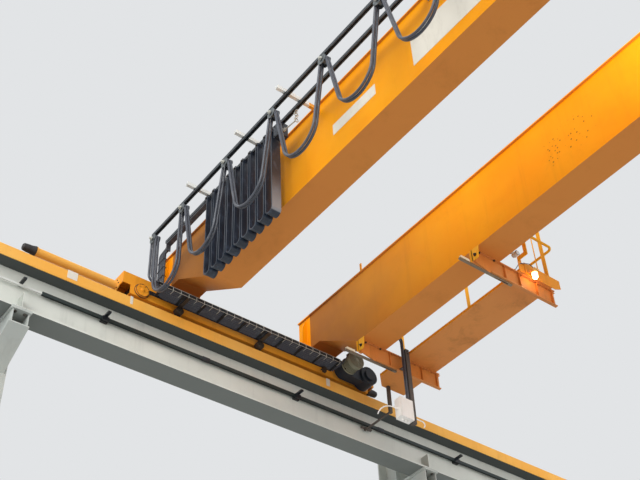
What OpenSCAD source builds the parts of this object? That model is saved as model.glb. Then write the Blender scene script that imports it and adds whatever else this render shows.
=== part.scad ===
// Overhead bridge crane: a double box girder bridge on two end trucks that roll on elevated runway
// beams, with its cable festoons, service platform, hoist crab and runway columns.
// X runs along the girders, Y along the runway, Z is up, and the floor is at Z = 0.
// The origin is on the floor at mid span and mid runway.

/* [Runway] */
// Distance between the two crane rails
span = 19500; // [16000:100:24000]
// Length of one bay between columns
bay = 6000; // [5600:100:7000]
// Number of bays of runway
bays = 3; // [3:1:4]
// Height of the underside of the runway beams above the floor
runway_z = 9300; // [7000:50:11000]
// Depth of a runway beam
runway_depth = 625; // [500:5:800]
// Width of the runway beam's bottom flange
runway_flange_w = 300; // [260:10:360]
// Width of the runway beam's top flange
runway_top_w = 356; // [320:2:420]
// Thickness of the runway beam's flanges
runway_flange_t = 25; // [16:1:35]
// Thickness of the runway beam's web
runway_web_t = 13; // [8:1:20]
// Depth of the cap channel's legs
cap_h = 150; // [120:5:200]
// Plate thickness of the cap channel
cap_t = 12; // [8:1:16]
// Width of the crane rail
rail_w = 60; // [50:5:80]
// Height of the crane rail
rail_h = 60; // [50:5:80]

/* [Columns] */
// Depth of a runway column's section
column_h = 360; // [300:10:450]
// Flange width of a runway column
column_w = 300; // [220:10:320]
// Flange thickness of a runway column
column_flange_t = 20; // [12:1:30]
// Web thickness of a runway column
column_web_t = 12; // [8:1:20]
// Distance from the rail to the middle of the columns behind it
column_back = 550; // [540:10:700]
// Side of a column's base plate
base_side = 560; // [480:10:700]
// Thickness of a base plate and a head plate
base_t = 35; // [20:1:50]
// Diameter of an anchor bolt hole
anchor_d = 34; // [24:1:42]
// Distance between the anchor bolt holes of one base plate
anchor_pitch = 440; // [400:5:460]

/* [Conductor] */
// Height of the conductor bar's section
conductor_h = 44; // [40:2:90]
// Thickness of the conductor bar's section
conductor_w = 30; // [24:2:60]
// Drop of the conductor bar's top below the beam's top flange
conductor_drop = 185; // [120:5:250]
// Distance between two conductor hangers
hanger_pitch = 2800; // [2000:100:3200]

/* [Bridge] */
// Place of the bridge's middle along the runway at rest
bridge_y = 130; // [-1000:10:1000]
// Distance between the middles of the two girders
gauge = 2200; // [2000:10:2800]
// Depth of a girder
girder_h = 1060; // [900:10:1300]
// Width over a girder's webs
girder_w = 380; // [320:5:420]
// Width of a girder's bottom plate
bottom_plate_w = 408; // [400:2:480]
// Width of a girder's top plate
top_plate_w = 430; // [424:2:520]
// Thickness of a girder's bottom and top plates
plate_t = 16; // [10:1:25]
// How far a girder's underside hangs below the top of the runway's cap channel
girder_drop = 40; // [20:5:120]
// Height of a girder where it stands on an end truck
girder_end_h = 570; // [480:10:620]
// Distance from the rail to where the girder's underside starts to rise
haunch_start = 1120; // [950:10:1500]
// Distance from the rail to where the girder's underside is level again
haunch_end = 330; // [260:10:400]
// How far a girder runs on past the rail
girder_past_rail = 120; // [60:5:140]

/* [End trucks] */
// Distance between the two wheels of an end truck
wheelbase = 3400; // [3200:20:4000]
// Distance from a wheel's axle to the end of the truck
truck_overhang = 265; // [240:5:400]
// Width of an end truck
truck_w = 300; // [270:5:340]
// Depth of an end truck
truck_h = 300; // [290:5:380]
// Plate thickness of an end truck
truck_t = 10; // [8:1:16]
// Gap between the rail's top and an end truck's underside
truck_gap = 30; // [24:1:50]
// Tread diameter of a travel wheel
wheel_d = 250; // [220:5:260]
// Height of a wheel flange beyond the tread
wheel_lip = 15; // [10:1:20]
// Thickness of a wheel flange
wheel_lip_t = 15; // [10:1:20]
// Side play between a wheel flange and the rail
wheel_play = 6; // [5:0.5:10]
// Diameter of an axle where the wheel turns on it
axle_d = 70; // [50:1:90]
// Length of a buffer tube
buffer_tube_l = 1080; // [600:20:1400]
// Outer diameter of a buffer tube
buffer_tube_d = 108; // [80:2:140]
// Length of a rubber buffer
buffer_l = 165; // [100:5:250]

/* [Platform] */
// Distance from the rail to the cross member near the end truck
cross_far = 1130; // [1000:10:1300]
// Distance from the rail to the cross member further in
cross_near = 3200; // [2600:50:4200]
// Depth of a cross member
cross_h = 240; // [180:10:300]
// Width of the service platform
platform_w = 550; // [450:10:800]
// Drop of the junction box below the girders' underside
box_below = 800; // [500:10:900]
// Depth of the service platform's pan
platform_h = 160; // [150:10:300]
// Distance from the rail to the platform's end near the end truck
platform_start = 520; // [480:10:900]
// Gap between the girder's bottom plate and the platform
platform_gap = 310; // [200:10:500]
// Height of the handrail above the platform's pan
handrail_h = 1090; // [900:10:1200]
// Diameter of the handrail's tube
handrail_d = 34; // [28:1:48]

/* [Festoon] */
// Distance from the girder's middle to the outer cable rail
outer_rail_off = 630; // [600:10:700]
// Distance from the girder's middle to the inner cable rail
inner_rail_off = 430; // [400:10:480]
// Width and height of a cable rail
cable_rail_w = 44; // [40:1:60]
// Distance from the rail to the first festoon arm
arm_first = 1356; // [1200:1:1600]
// Distance between the first two festoon arms
arm_step_1 = 1016; // [800:1:1100]
// Distance between the second and third festoon arms
arm_step_2 = 805; // [700:1:1100]
// Distance between the other festoon arms
arm_pitch = 1900; // [1200:10:2200]
// Distance between two cable carriers
carrier_pitch = 920; // [700:10:1100]
// Distance from the rail to the first cable carrier
carrier_first = 1100; // [1000:10:1300]
// Number of cable loops past the first carrier
loops = 10; // [4:1:10]
// Diameter of a festoon cable
cable_d = 30; // [20:1:50]
// Depth that a cable loop hangs below its carriers
loop_drop = 990; // [700:10:1200]
// Radius of a cable loop's bottom turn
loop_r = 270; // [180:5:300]
// Number of gathered flat cable loops on the inner rail
bundle_loops = 9; // [4:1:10]
// Distance between two gathered loops
bundle_pitch = 150; // [130:5:200]
// Width of a flat cable pack
flat_w = 120; // [80:5:160]
// Depth that a gathered loop hangs
bundle_drop = 1240; // [800:10:1400]

/* [Crab] */
// Place of the hoist crab's middle along the girders
crab_x = 1600; // [600:50:3000]
// Wheelbase of the crab
crab_wheelbase = 1500; // [1200:50:2000]
// Diameter of a crab wheel
crab_wheel_d = 250; // [200:10:320]
// Diameter of the rope drum
drum_d = 420; // [300:10:520]
// Length of the rope drum
drum_l = 1000; // [900:10:1100]
// Diameter of the hoist rope
rope_d = 16; // [10:1:22]
// Height of the hook block's sheave axle below the girders' underside
hook_below = 420; // [350:10:900]

/* [Hidden] */
$fn = 48;

eps = 1;
side_signs = [-1, 1];
rail_x = span / 2;
runway_l = bay * bays;
runway_top = runway_z + runway_depth;
flange_under = runway_top - runway_flange_t;
cap_top = flange_under + cap_h;
rail_top = cap_top + rail_h;
wheel_seat = 0.3;
axle_z = rail_top + wheel_seat + wheel_d / 2;
tread_w = rail_w + 2 * wheel_play;
wheel_w = tread_w + 2 * wheel_lip_t;
hub_d = axle_d + 70;
axle_fit = 0.05;
cable_seat = 0.3;
joint_gap = 0.1;
carrier_t = 4;
cable_off = cable_d / 2 + carrier_t / 2 + 1;
saddle_r = 48;
hub_side_gap = 1;
stiffener_t = 12;
conductor_free = 130;
truck_z = rail_top + truck_gap;
truck_top = truck_z + truck_h;
truck_l = wheelbase + 2 * truck_overhang;
hub_l = truck_w - 2 * truck_t - 60;
girder_z = cap_top - girder_drop;
girder_top = girder_z + girder_h;
girder_end_z = girder_top - girder_end_h;
girder_half = rail_x + girder_past_rail;
a_y = bridge_y - gauge / 2;
b_y = bridge_y + gauge / 2;

// Runway

// I section that stands on zero, centred on the first axis
module i_section(h, w, w_top, t_flange, t_web) {
    translate([-w / 2, 0]) square([w, t_flange]);
    translate([-w_top / 2, h - t_flange]) square([w_top, t_flange]);
    translate([-t_web / 2, 0]) square([t_web, h]);
}

// Extrudes a section drawn as (across, up) along the runway, centred on Y = 0
module along_runway(l) {
    rotate([90, 0, 0]) linear_extrude(l, center = true) children();
}

// Extrudes a section drawn as (across, up) along the girders between two places
module along_girder(x0, x1) {
    translate([x0, 0, 0]) rotate([90, 0, 90]) linear_extrude(x1 - x0) children();
}

function column_y(i) = -runway_l / 2 + i * bay + (i == 0 ? column_w / 2 : i == bays ? -column_w / 2 : 0);

bracket_w = 240;
bracket_h = 460;
bracket_web_t = 14;

module column() {
    difference() {
        translate([-base_side / 2, -base_side / 2, 0]) cube([base_side, base_side, base_t]);
        for (x = side_signs)
            for (y = side_signs)
                translate([x * anchor_pitch / 2, y * anchor_pitch / 2, -eps])
                    cylinder(d = anchor_d, h = base_t + 2 * eps);
    }
    translate([0, 0, base_t]) linear_extrude(cap_top - base_t) rotate([0, 0, 90])
        translate([0, -column_h / 2]) i_section(column_h, column_w, column_w, column_flange_t, column_web_t);
    translate([-column_h / 2, -column_w / 2, cap_top]) cube([column_h, column_w, base_t / 2]);
    // Bracket under the beam: a top plate, two tapered webs and a sloping bottom plate
    reach = column_back - column_h / 2 + runway_flange_w / 2 + 20;
    slope_h = bracket_h - 160;
    translate([-column_h / 2 - reach, -bracket_w / 2, runway_z - base_t]) cube([reach, bracket_w, base_t]);
    for (y = [-bracket_w / 2 + 20, bracket_w / 2 - 20 - bracket_web_t])
        translate([-column_h / 2, y + bracket_web_t, runway_z - base_t]) rotate([90, 0, 0])
            linear_extrude(bracket_web_t)
                polygon([[0, 0], [-reach + 20, 0], [-reach + 20, -160], [0, -bracket_h]]);
    translate([-column_h / 2, 0, runway_z - base_t]) rotate([90, 0, 0]) linear_extrude(bracket_w, center = true)
        polygon([[0, -bracket_h], [-reach + 20, -160], [-reach + 20, -160 - 16], [0, -bracket_h - 16]]);
    // Plate that holds the top of the beam back to the column
    translate([-column_h / 2 - column_back + column_h / 2 + runway_top_w / 2 + cap_t, -60, flange_under + 20])
        cube([column_back - column_h / 2 - runway_top_w / 2 - cap_t, 120, 16]);
}

module columns() {
    color("lightgray")
        for (s = side_signs)
            for (i = [0 : bays])
                translate([s * (rail_x + column_back), column_y(i), 0]) mirror([s < 0 ? 1 : 0, 0, 0]) column();
}

module runway_beam() {
    translate([0, 0, runway_z]) along_runway(runway_l)
        i_section(runway_depth, runway_flange_w, runway_top_w, runway_flange_t, runway_web_t);
    stiffener_w = (runway_flange_w - runway_web_t) / 2 - 8;
    stiffener_z = runway_z + runway_flange_t;
    for (i = [0 : bays]) {
        translate([-runway_web_t / 2 - stiffener_w, column_y(i) - stiffener_t / 2, stiffener_z])
            cube([stiffener_w, stiffener_t, runway_depth - 2 * runway_flange_t]);
        translate([runway_web_t / 2, column_y(i) - stiffener_t / 2, stiffener_z])
            cube([stiffener_w, stiffener_t, conductor_top - conductor_h - conductor_free - stiffener_z]);
    }
}

module runway_beams() {
    color("gainsboro")
        for (s = side_signs)
            translate([s * rail_x, 0, 0]) mirror([s > 0 ? 1 : 0, 0, 0]) runway_beam();
}

module cap_channels() {
    color("orange")
        for (s = side_signs)
            translate([s * rail_x, 0, 0]) along_runway(runway_l) difference() {
                translate([-runway_top_w / 2 - cap_t, flange_under]) square([runway_top_w + 2 * cap_t, cap_h]);
                translate([-runway_top_w / 2, flange_under - eps]) square([runway_top_w, cap_h - cap_t + eps]);
            }
}

module rail_profile() {
    bevel = rail_w / 10;
    polygon([[-rail_w / 2, 0], [rail_w / 2, 0], [rail_w / 2, rail_h - bevel], [rail_w / 2 - bevel, rail_h],
        [-rail_w / 2 + bevel, rail_h], [-rail_w / 2, rail_h - bevel]]);
}

module runway_rails() {
    color("dimgray")
        for (s = side_signs)
            translate([s * rail_x, 0, cap_top]) along_runway(runway_l) rail_profile();
}

stop_t = 20;
stop_from_end = 60;
buffer_z = truck_z + truck_h * 0.53;

// A stop stands astride the rail and takes the buffer on its plate
module end_stop() {
    stop_w = runway_top_w - 40;
    stop_h = buffer_z + buffer_tube_d - cap_top;
    leg_w = (stop_w - rail_w) / 2 - 10;
    difference() {
        translate([-stop_w / 2, 0, cap_top]) cube([stop_w, stop_t, stop_h]);
        translate([-rail_w / 2 - 5, -eps, cap_top - eps]) cube([rail_w + 10, stop_t + 2 * eps, rail_h + 5 + eps]);
    }
    for (s = side_signs)
        translate([s * (stop_w / 2 - leg_w / 2) - 8, stop_t, cap_top])
            rotate([90, 0, 90]) linear_extrude(16)
                polygon([[0, 0], [stop_h * 0.9, 0], [stop_h * 0.9, 40], [40, stop_h - 20], [0, stop_h - 20]]);
}

stop_back = 340;

module end_stops() {
    color("gold")
        for (s = side_signs)
            for (e = side_signs)
                translate([s * rail_x, e * (runway_l / 2 - stop_from_end - stop_back), 0])
                    mirror([0, e < 0 ? 1 : 0, 0]) end_stop();
}

mark_t = 3;

// Bare plates on the left cap channel, each as [place along the runway, width]
module runway_marks() {
    color("white")
        for (m = [[-2560, 130], [-1730, 36], [1225, 60]])
            translate([-rail_x + runway_top_w / 2 + cap_t, m[0], cap_top - cap_h + 44])
                cube([mark_t, m[1], cap_h - 34]);
}

// Power supply along the left runway

hanger_first_y = -1960;
conductor_start_y = -2770;
conductor_gap = 30;
conductor_x = -rail_x + runway_web_t / 2 + conductor_gap;
conductor_top = flange_under - conductor_drop;
hanger_l = runway_top_w / 2 - runway_web_t / 2 - 10;
hanger_h = 24;
hangers_y = [for (y = [hanger_first_y : hanger_pitch : runway_l / 2 - 300]) y];

module conductor_bar() {
    color([0.13, 0.18, 0.18])
        translate([conductor_x, conductor_start_y, conductor_top - conductor_h])
            difference() {
                cube([conductor_w, runway_l / 2 - 100 - conductor_start_y, conductor_h]);
                translate([8, -eps, -eps])
                    cube([conductor_w - 16, runway_l, conductor_h - 12]);
            }
    color("white")
        translate([conductor_x, -runway_l / 2 + 100, conductor_top - conductor_h / 2 - 12])
            cube([24, conductor_start_y + runway_l / 2 - 100, 24]);
}

module conductor_hangers() {
    color([0.12, 0.15, 0.18])
        for (y = hangers_y) {
            translate([-rail_x + runway_web_t / 2, y - 20, conductor_top]) cube([hanger_l, 40, hanger_h]);
            translate([-rail_x + runway_web_t / 2, y - 45, conductor_top - conductor_h - 14])
                difference() {
                    cube([conductor_gap + conductor_w + 14, 90, conductor_h + 14]);
                    translate([conductor_gap - 0.3, -eps, 14 - 0.3]) cube([conductor_w + 0.6, 92, conductor_h + 0.6]);
                    translate([conductor_gap + 8, -eps, -eps]) cube([conductor_w - 16, 92, 16]);
                }
        }
    color([0.12, 0.15, 0.18])
        for (y = [conductor_start_y - 260, -runway_l / 2 + 300, -runway_l / 4 - 1800])
            translate([-rail_x + runway_web_t / 2, y - 20, conductor_top - conductor_h / 2 + 12])
                cube([hanger_l, 40, hanger_h]);
}

// Girders

// Side view of a girder: level in the middle, rising to its seats on the end trucks
module girder_side(inset_bottom, inset_top) {
    polygon([
        [-rail_x + haunch_start, girder_z + inset_bottom],
        [rail_x - haunch_start, girder_z + inset_bottom],
        [rail_x - haunch_end, girder_end_z + inset_bottom],
        [girder_half, girder_end_z + inset_bottom],
        [girder_half, girder_top - inset_top],
        [-girder_half, girder_top - inset_top],
        [-girder_half, girder_end_z + inset_bottom],
        [-rail_x + haunch_end, girder_end_z + inset_bottom]]);
}

end_plate_t = 20;
end_plate_out = 100;
end_plate_in = 170;
stop_post_x = 1260;

module girder(y) {
    translate([0, y, 0]) {
        rotate([90, 0, 0]) linear_extrude(girder_w, center = true) girder_side(plate_t / 2, plate_t / 2);
        rotate([90, 0, 0]) linear_extrude(bottom_plate_w, center = true) difference() {
            girder_side(0, girder_end_h - plate_t - eps);
            girder_side(plate_t, -eps);
        }
        translate([-girder_half, -top_plate_w / 2, girder_top - plate_t]) cube([2 * girder_half, top_plate_w, plate_t]);
        for (s = side_signs)
            translate([s * (girder_half - end_plate_in) - end_plate_t / 2, 0, 0])
                rotate([90, 0, 90]) linear_extrude(end_plate_t)
                    polygon([[-girder_w / 2 - end_plate_out, girder_end_z], [girder_w / 2 + end_plate_out, girder_end_z],
                        [girder_w / 2 + end_plate_out - 30, girder_end_z + girder_end_h * 0.7],
                        [girder_w / 2, girder_top - plate_t], [-girder_w / 2, girder_top - plate_t],
                        [-girder_w / 2 - end_plate_out + 30, girder_end_z + girder_end_h * 0.7]]);
        for (s = side_signs)
            translate([s * rail_x - truck_w / 2, -bottom_plate_w / 2 - 60, truck_top])
                cube([truck_w, bottom_plate_w + 120, girder_end_z - truck_top]);
    }
}

module girder_a() { color("orange") girder(a_y); }
module girder_b() {
    color("orange") {
        girder(b_y);
        translate([-rail_x + stop_post_x, b_y - top_plate_w / 2, girder_top - eps]) cube([30, 12, 120]);
    }
}

// Bare plates, each as [distance from the rail, height over the girder's underside, length, height]
web_plates = [[3420, 350, 710, 160], [4710, 210, 1500, 460]];

// The plates on the outer web of girder A, repeated on girder B
module girder_plates() {
    color("white")
        for (w = [[a_y - girder_w / 2 - mark_t, 0], [b_y + girder_w / 2, 1]])
            mirror([w[1], 0, 0])
                for (p = web_plates)
                    translate([-rail_x + p[0], w[0], girder_z + p[1]]) cube([p[2], mark_t, p[3]]);
}

trolley_rail_w = 50;
trolley_rail_h = 40;
trolley_stop_x = rail_x - 900;

module trolley_rails() {
    color("dimgray")
        for (y = [a_y, b_y]) {
            translate([-trolley_stop_x, y - trolley_rail_w / 2, girder_top])
                cube([2 * trolley_stop_x, trolley_rail_w, trolley_rail_h]);
            for (s = side_signs)
                translate([s * (trolley_stop_x + 20) - 20, y - 45, girder_top]) cube([40, 90, 190]);
        }
}

// End trucks

notch_w = 110;
notch_h = 130;

module end_truck() {
    translate([0, bridge_y, 0]) difference() {
        translate([-truck_w / 2, -truck_l / 2, truck_z]) cube([truck_w, truck_l, truck_h]);
        translate([-truck_w / 2 + truck_t, -truck_l / 2 + truck_t, truck_z + truck_t])
            cube([truck_w - 2 * truck_t, truck_l - 2 * truck_t, truck_h - 2 * truck_t]);
        for (s = side_signs) {
            slot_l = wheel_d + 2 * wheel_lip + 40;
            translate([-wheel_w / 2 - 20, s * wheelbase / 2 - slot_l / 2, truck_z - eps])
                cube([wheel_w + 40, slot_l, truck_t + 2 * eps]);
            translate([0, s * wheelbase / 2, axle_z]) rotate([0, 90, 0])
                cylinder(d = axle_d + 2 * axle_fit, h = truck_w + 2 * eps, center = true);
            translate([-truck_w / 2 - eps, s * (truck_l / 2 - notch_w / 2) - notch_w / 2, truck_z - eps])
                cube([truck_w + 2 * eps, notch_w, notch_h + eps]);
        }
    }
}

module end_truck_left() { color("orange") translate([-rail_x, 0, 0]) end_truck(); }
module end_truck_right() { color("orange") translate([rail_x, 0, 0]) end_truck(); }

cap_d = 190;
cap_out = 26;

module wheel_axles() {
    color("orange")
        for (s = side_signs)
            for (e = side_signs)
                translate([s * rail_x, bridge_y + e * wheelbase / 2, axle_z]) rotate([0, 90, 0]) {
                    cylinder(d = axle_d, h = truck_w, center = true);
                    for (m = side_signs) {
                        translate([0, 0, m * (truck_w / 2 + cap_out / 2)]) cylinder(d = cap_d, h = cap_out, center = true);
                        collar_l = (truck_w - 2 * truck_t - hub_l) / 2 - hub_side_gap;
                        translate([0, 0, m * (hub_l / 2 + hub_side_gap + collar_l / 2)])
                            cylinder(d = axle_d + 26, h = collar_l, center = true);
                    }
                }
}

// A double flanged wheel turned as one profile, with a plain bore
module travel_wheel() {
    r_tread = wheel_d / 2;
    r_lip = r_tread + wheel_lip;
    r_bore = axle_d / 2 + axle_fit;
    web_t = 30;
    rotate([0, 90, 0]) rotate_extrude($fn = 96) polygon([
        [r_bore, -hub_l / 2], [hub_d / 2, -hub_l / 2], [hub_d / 2, -web_t / 2 - 6], [r_tread - 30, -web_t / 2],
        [r_tread - 24, -wheel_w / 2], [r_lip, -wheel_w / 2 + 4], [r_lip - 3, -tread_w / 2 - 2], [r_tread, -tread_w / 2 + 2],
        [r_tread, tread_w / 2 - 2], [r_lip - 3, tread_w / 2 + 2], [r_lip, wheel_w / 2 - 4], [r_tread - 24, wheel_w / 2],
        [r_tread - 30, web_t / 2], [hub_d / 2, web_t / 2 + 6], [hub_d / 2, hub_l / 2], [r_bore, hub_l / 2]]);
}

module placed_wheel(s, e) {
    color([0.35, 0.34, 0.33]) translate([s * rail_x, bridge_y + e * wheelbase / 2, axle_z]) travel_wheel();
}

module wheel_left_a() { placed_wheel(-1, -1); }
module wheel_left_b() { placed_wheel(-1, 1); }
module wheel_right_a() { placed_wheel(1, -1); }
module wheel_right_b() { placed_wheel(1, 1); }

module buffer_tubes() {
    color("orange")
        for (s = side_signs)
            translate([s * rail_x, bridge_y - truck_l / 2, buffer_z]) rotate([90, 0, 0]) {
                cylinder(d = buffer_tube_d, h = buffer_tube_l);
                cylinder(d = buffer_tube_d + 50, h = 14);
                translate([0, 0, buffer_tube_l - 12]) cylinder(d = buffer_tube_d + 16, h = 12);
            }
}

module buffer() {
    rotate_extrude() polygon([[0, 0], [60, 0], [64, 10], [58, 30], [52, 60], [50, 110], [44, buffer_l - 12],
        [32, buffer_l], [0, buffer_l]]);
}

// The buffers nearest the cable tray's start stand on long tubes, the others on the trucks themselves
module buffers() {
    color([0.1, 0.1, 0.1])
        for (s = side_signs) {
            translate([s * rail_x, bridge_y - truck_l / 2 - buffer_tube_l, buffer_z]) rotate([90, 0, 0]) buffer();
            translate([s * rail_x, bridge_y + truck_l / 2, buffer_z]) rotate([-90, 0, 0]) buffer();
        }
}

// Travel drives hang on the inner face of each end truck, at the second wheel

gear_x = 200;
gear_big_d = 270;
gear_small_d = 220;
gear_small_y = -360;
motor_d = 240;
motor_l = 180;
motor_flange_t = 18;
fins = 4;

module drive_place(s) {
    translate([s * rail_x, bridge_y + wheelbase / 2, axle_z]) mirror([s > 0 ? 1 : 0, 0, 0])
        translate([truck_w / 2 + cap_out, 0, 0]) rotate([0, 90, 0]) children();
}

// A flat parallel shaft gearbox: a round end on the axle, one behind the motor, a straight body between
module drive_gearboxes() {
    color([0.16, 0.18, 0.2])
        for (s = side_signs)
            drive_place(s) {
                cylinder(d = gear_big_d, h = gear_x);
                translate([0, gear_small_y, 30]) cylinder(d = gear_small_d, h = gear_x - 30);
                translate([-gear_small_d / 2, gear_small_y, 30]) cube([gear_small_d, -gear_small_y, gear_x - 60]);
                translate([0, 0, gear_x]) cylinder(d = gear_big_d - 110, h = 30);
                translate([-gear_big_d / 2 - 20, -30, 60]) cube([40, 60, 40]);
            }
}

module drive_motors() {
    color([0.45, 0.48, 0.46])
        for (s = side_signs)
            drive_place(s) translate([0, gear_small_y, gear_x]) {
                cylinder(d = motor_d, h = motor_flange_t);
                cylinder(d = motor_d - 40, h = motor_l);
                for (i = [1 : fins])
                    translate([0, 0, motor_flange_t + i * 20]) cylinder(d = motor_d - 16, h = 8);
                translate([0, 0, motor_l - 60]) cylinder(d = motor_d, h = 60);
                translate([-motor_d / 2 - 20, -60, 40]) cube([60, 120, 80]);
            }
}

// Cable tray along the left end truck

tray_w = 220;
tray_h = 60;
tray_gap = 50;
tray_z = truck_z + 50;
tray_x0 = -rail_x + truck_w / 2 + tray_gap;
tray_y0 = bridge_y - wheelbase / 2 + 80;
tray_y1 = bridge_y + wheelbase / 2 + gear_small_y - motor_d / 2 - 50;
rung_pitch = 300;

module cable_tray() {
    color([0.3, 0.34, 0.36]) {
        for (x = [0, tray_w - 4])
            translate([tray_x0 + x, tray_y0, tray_z]) cube([4, tray_y1 - tray_y0, tray_h]);
        for (y = [tray_y0 + 60 : rung_pitch : tray_y1 - 30])
            translate([tray_x0 + 4, y, tray_z + 2]) cube([tray_w - 8, 30, 12]);
    }
}

bracket_places = [bridge_y - 1190, bridge_y + 20];
bracket_d = 110;
switch_y = 1150;

// Round brackets that carry the tray, and a limit switch with a ball end below its far end
module tray_brackets() {
    color([0.3, 0.25, 0.2])
        for (y = bracket_places) {
            translate([tray_x0 - tray_gap, y - 25, tray_z - 10]) cube([tray_w + tray_gap, 50, 10]);
            translate([tray_x0 - tray_gap, y, tray_z - 60]) rotate([0, 90, 0]) cylinder(d = bracket_d, h = tray_gap + 20);
        }
    color([0.1, 0.1, 0.12])
        translate([tray_x0 + 4, switch_y, tray_z - 70]) {
            cube([40, 50, 70]);
            translate([20, -14, 20]) rotate([-90, 0, 0]) cylinder(d = 14, h = 14);
            translate([20, -22, 20]) sphere(d = 28);
        }
}

drop_bend = 100;
box_cable_top = girder_z + 120;
tray_cable_z = tray_z + 14 + cable_d / 2 + cable_seat;
drop_x = tray_x0 + tray_w - 34;
inner_drops = [-3, -2, -1];
cable_step = cable_d + 4;
outer_y = a_y - outer_rail_off;
inner_y = a_y - inner_rail_off;

module tray_cable(x, y0, level) {
    translate([x, y0, tray_cable_z + level * cable_step]) rotate([-90, 0, 0])
        cylinder(d = cable_d, h = tray_y1 + 40 - y0, $fn = 16);
}

module tray_cables() {
    color([0.1, 0.11, 0.12]) {
        tray_cable(drop_x, outer_y - cable_off + drop_bend, 0);
        tray_cable(drop_x, outer_y + cable_off + drop_bend, 1);
        for (i = inner_drops) tray_cable(drop_x + i * cable_step, inner_y + drop_bend, 0);
        drop_cables();
        for (k = [0, 1]) box_cable(mast_x + 12 + k * (box_cable_d + 6));
    }
}

box_cable_d = 22;
box_cable_r = 90;

// A cable from the junction box up beside the mast and over to girder B's web
module box_cable(x) {
    y = mast_y - mast_side / 2 - box_cable_d;
    web_y = b_y + girder_w / 2;
    translate([x, y, box_top_z]) cylinder(d = box_cable_d, h = box_cable_top - box_top_z - joint_gap, $fn = 16);
    translate([x, y - box_cable_r, box_cable_top]) rotate([90, 0, 90]) rotate_extrude(angle = 90, $fn = 48)
        translate([box_cable_r, 0]) circle(d = box_cable_d, $fn = 16);
    translate([x, web_y, box_cable_top + box_cable_r]) rotate([-90, 0, 0])
        cylinder(d = box_cable_d, h = y - box_cable_r - web_y - joint_gap, $fn = 16);
}

// Festoons on the outer side of girder A

arm_z = girder_top - 90;
arm_h = 50;
arm_tip = outer_rail_off + 130;
cable_rail_z = arm_z - cable_rail_w / 2;
arm_third_x = -rail_x + arm_first + arm_step_1 + arm_step_2;
arms_x = concat([-rail_x + arm_first, -rail_x + arm_first + arm_step_1],
    [for (x = [arm_third_x : arm_pitch : rail_x - arm_first - 200]) x], [rail_x - arm_first - 60]);
carriers_x = [for (i = [0 : loops]) -rail_x + carrier_first + i * carrier_pitch];
festoon_end_x = drop_x + saddle_r;

arm_w = 40;
arm_wall = 5;

// Open topped channels that reach out from the girder over both cable rails, each with a foot plate
module festoon_arms() {
    color("white")
        for (x = arms_x)
            translate([x - arm_w / 2, a_y - arm_tip, arm_z]) {
                difference() {
                    cube([arm_w, arm_tip - girder_w / 2, arm_h]);
                    translate([arm_wall, -eps, arm_wall])
                        cube([arm_w - 2 * arm_wall, arm_tip - girder_w / 2 - 2 * arm_wall, arm_h]);
                }
                translate([-20, arm_tip - girder_w / 2 - 8, -60]) cube([arm_w + 40, 8, 130]);
            }
}

cable_rail_wall = 4;
cable_rail_slot = 14;

// A square rail with a slot along its underside, and the wheels of the cable carriers inside
module festoon_rails() {
    half = cable_rail_w / 2;
    color([0.25, 0.28, 0.28])
        for (y = [outer_y, inner_y])
            translate([0, y, cable_rail_z]) along_girder(festoon_end_x - 60, rail_x - arm_first) difference() {
                square(cable_rail_w, center = true);
                square(cable_rail_w - 2 * cable_rail_wall, center = true);
                translate([-cable_rail_slot / 2, -half - eps]) square([cable_rail_slot, cable_rail_wall + 2 * eps]);
            }
}

carrier_hang = 104;
carrier_l = 90;
carrier_wheel_d = 28;
loop_top_z = cable_rail_z - carrier_hang;
cheek_d = 130;
cheek_y = cable_off + cable_d / 2 + 2;

module carrier_wheels(y) {
    for (e = side_signs)
        translate([e * (carrier_l / 2 - carrier_wheel_d / 2), y,
            cable_rail_z - cable_rail_w / 2 + cable_rail_wall + carrier_wheel_d / 2 + wheel_seat])
            rotate([90, 0, 0]) cylinder(d = carrier_wheel_d, h = 2 * (carrier_t / 2 + 10), center = true);
}

// A carrier hangs by four wheels inside the rail and holds the cables on a saddle below it
module carrier(x) {
    color([0.55, 0.57, 0.56]) translate([x, outer_y, 0]) {
        translate([0, -outer_y, 0]) carrier_wheels(outer_y);
        translate([-carrier_l / 2, -carrier_t / 2, cable_rail_z - 10]) cube([carrier_l, carrier_t, 12]);
        translate([-20, -carrier_t / 2, loop_top_z]) cube([40, carrier_t, carrier_hang]);
        translate([0, 0, loop_top_z]) rotate([90, 0, 0]) {
            cylinder(r = saddle_r - cable_d / 2 - cable_seat, h = 2 * cheek_y, center = true);
            for (s = side_signs)
                translate([0, 0, s * (cheek_y + 2)]) cylinder(d = cheek_d, h = 4, center = true);
            translate([0, 0, cheek_y + 4]) cylinder(d = 30, h = 14);
        }
    }
}

module festoon_carriers() {
    for (x = stops_x) carrier(x);
}

stops_x = concat([festoon_end_x], carriers_x);
loop_bottom_z = loop_drop - loop_r;

// Lean of a loop's straight runs, so that they leave both the saddle and the bottom turn smoothly
function loop_lean(i) =
    let (half = (stops_x[i + 1] - stops_x[i]) / 2)
    acos((loop_r + saddle_r) / norm([half, loop_bottom_z])) - atan2(loop_bottom_z, half);

module cable_turn(r, from, to) {
    rotate([90, 0, 0]) rotate([0, 0, from]) rotate_extrude(angle = to - from, $fn = 48)
        translate([r, 0]) circle(d = cable_d, $fn = 16);
}

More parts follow.
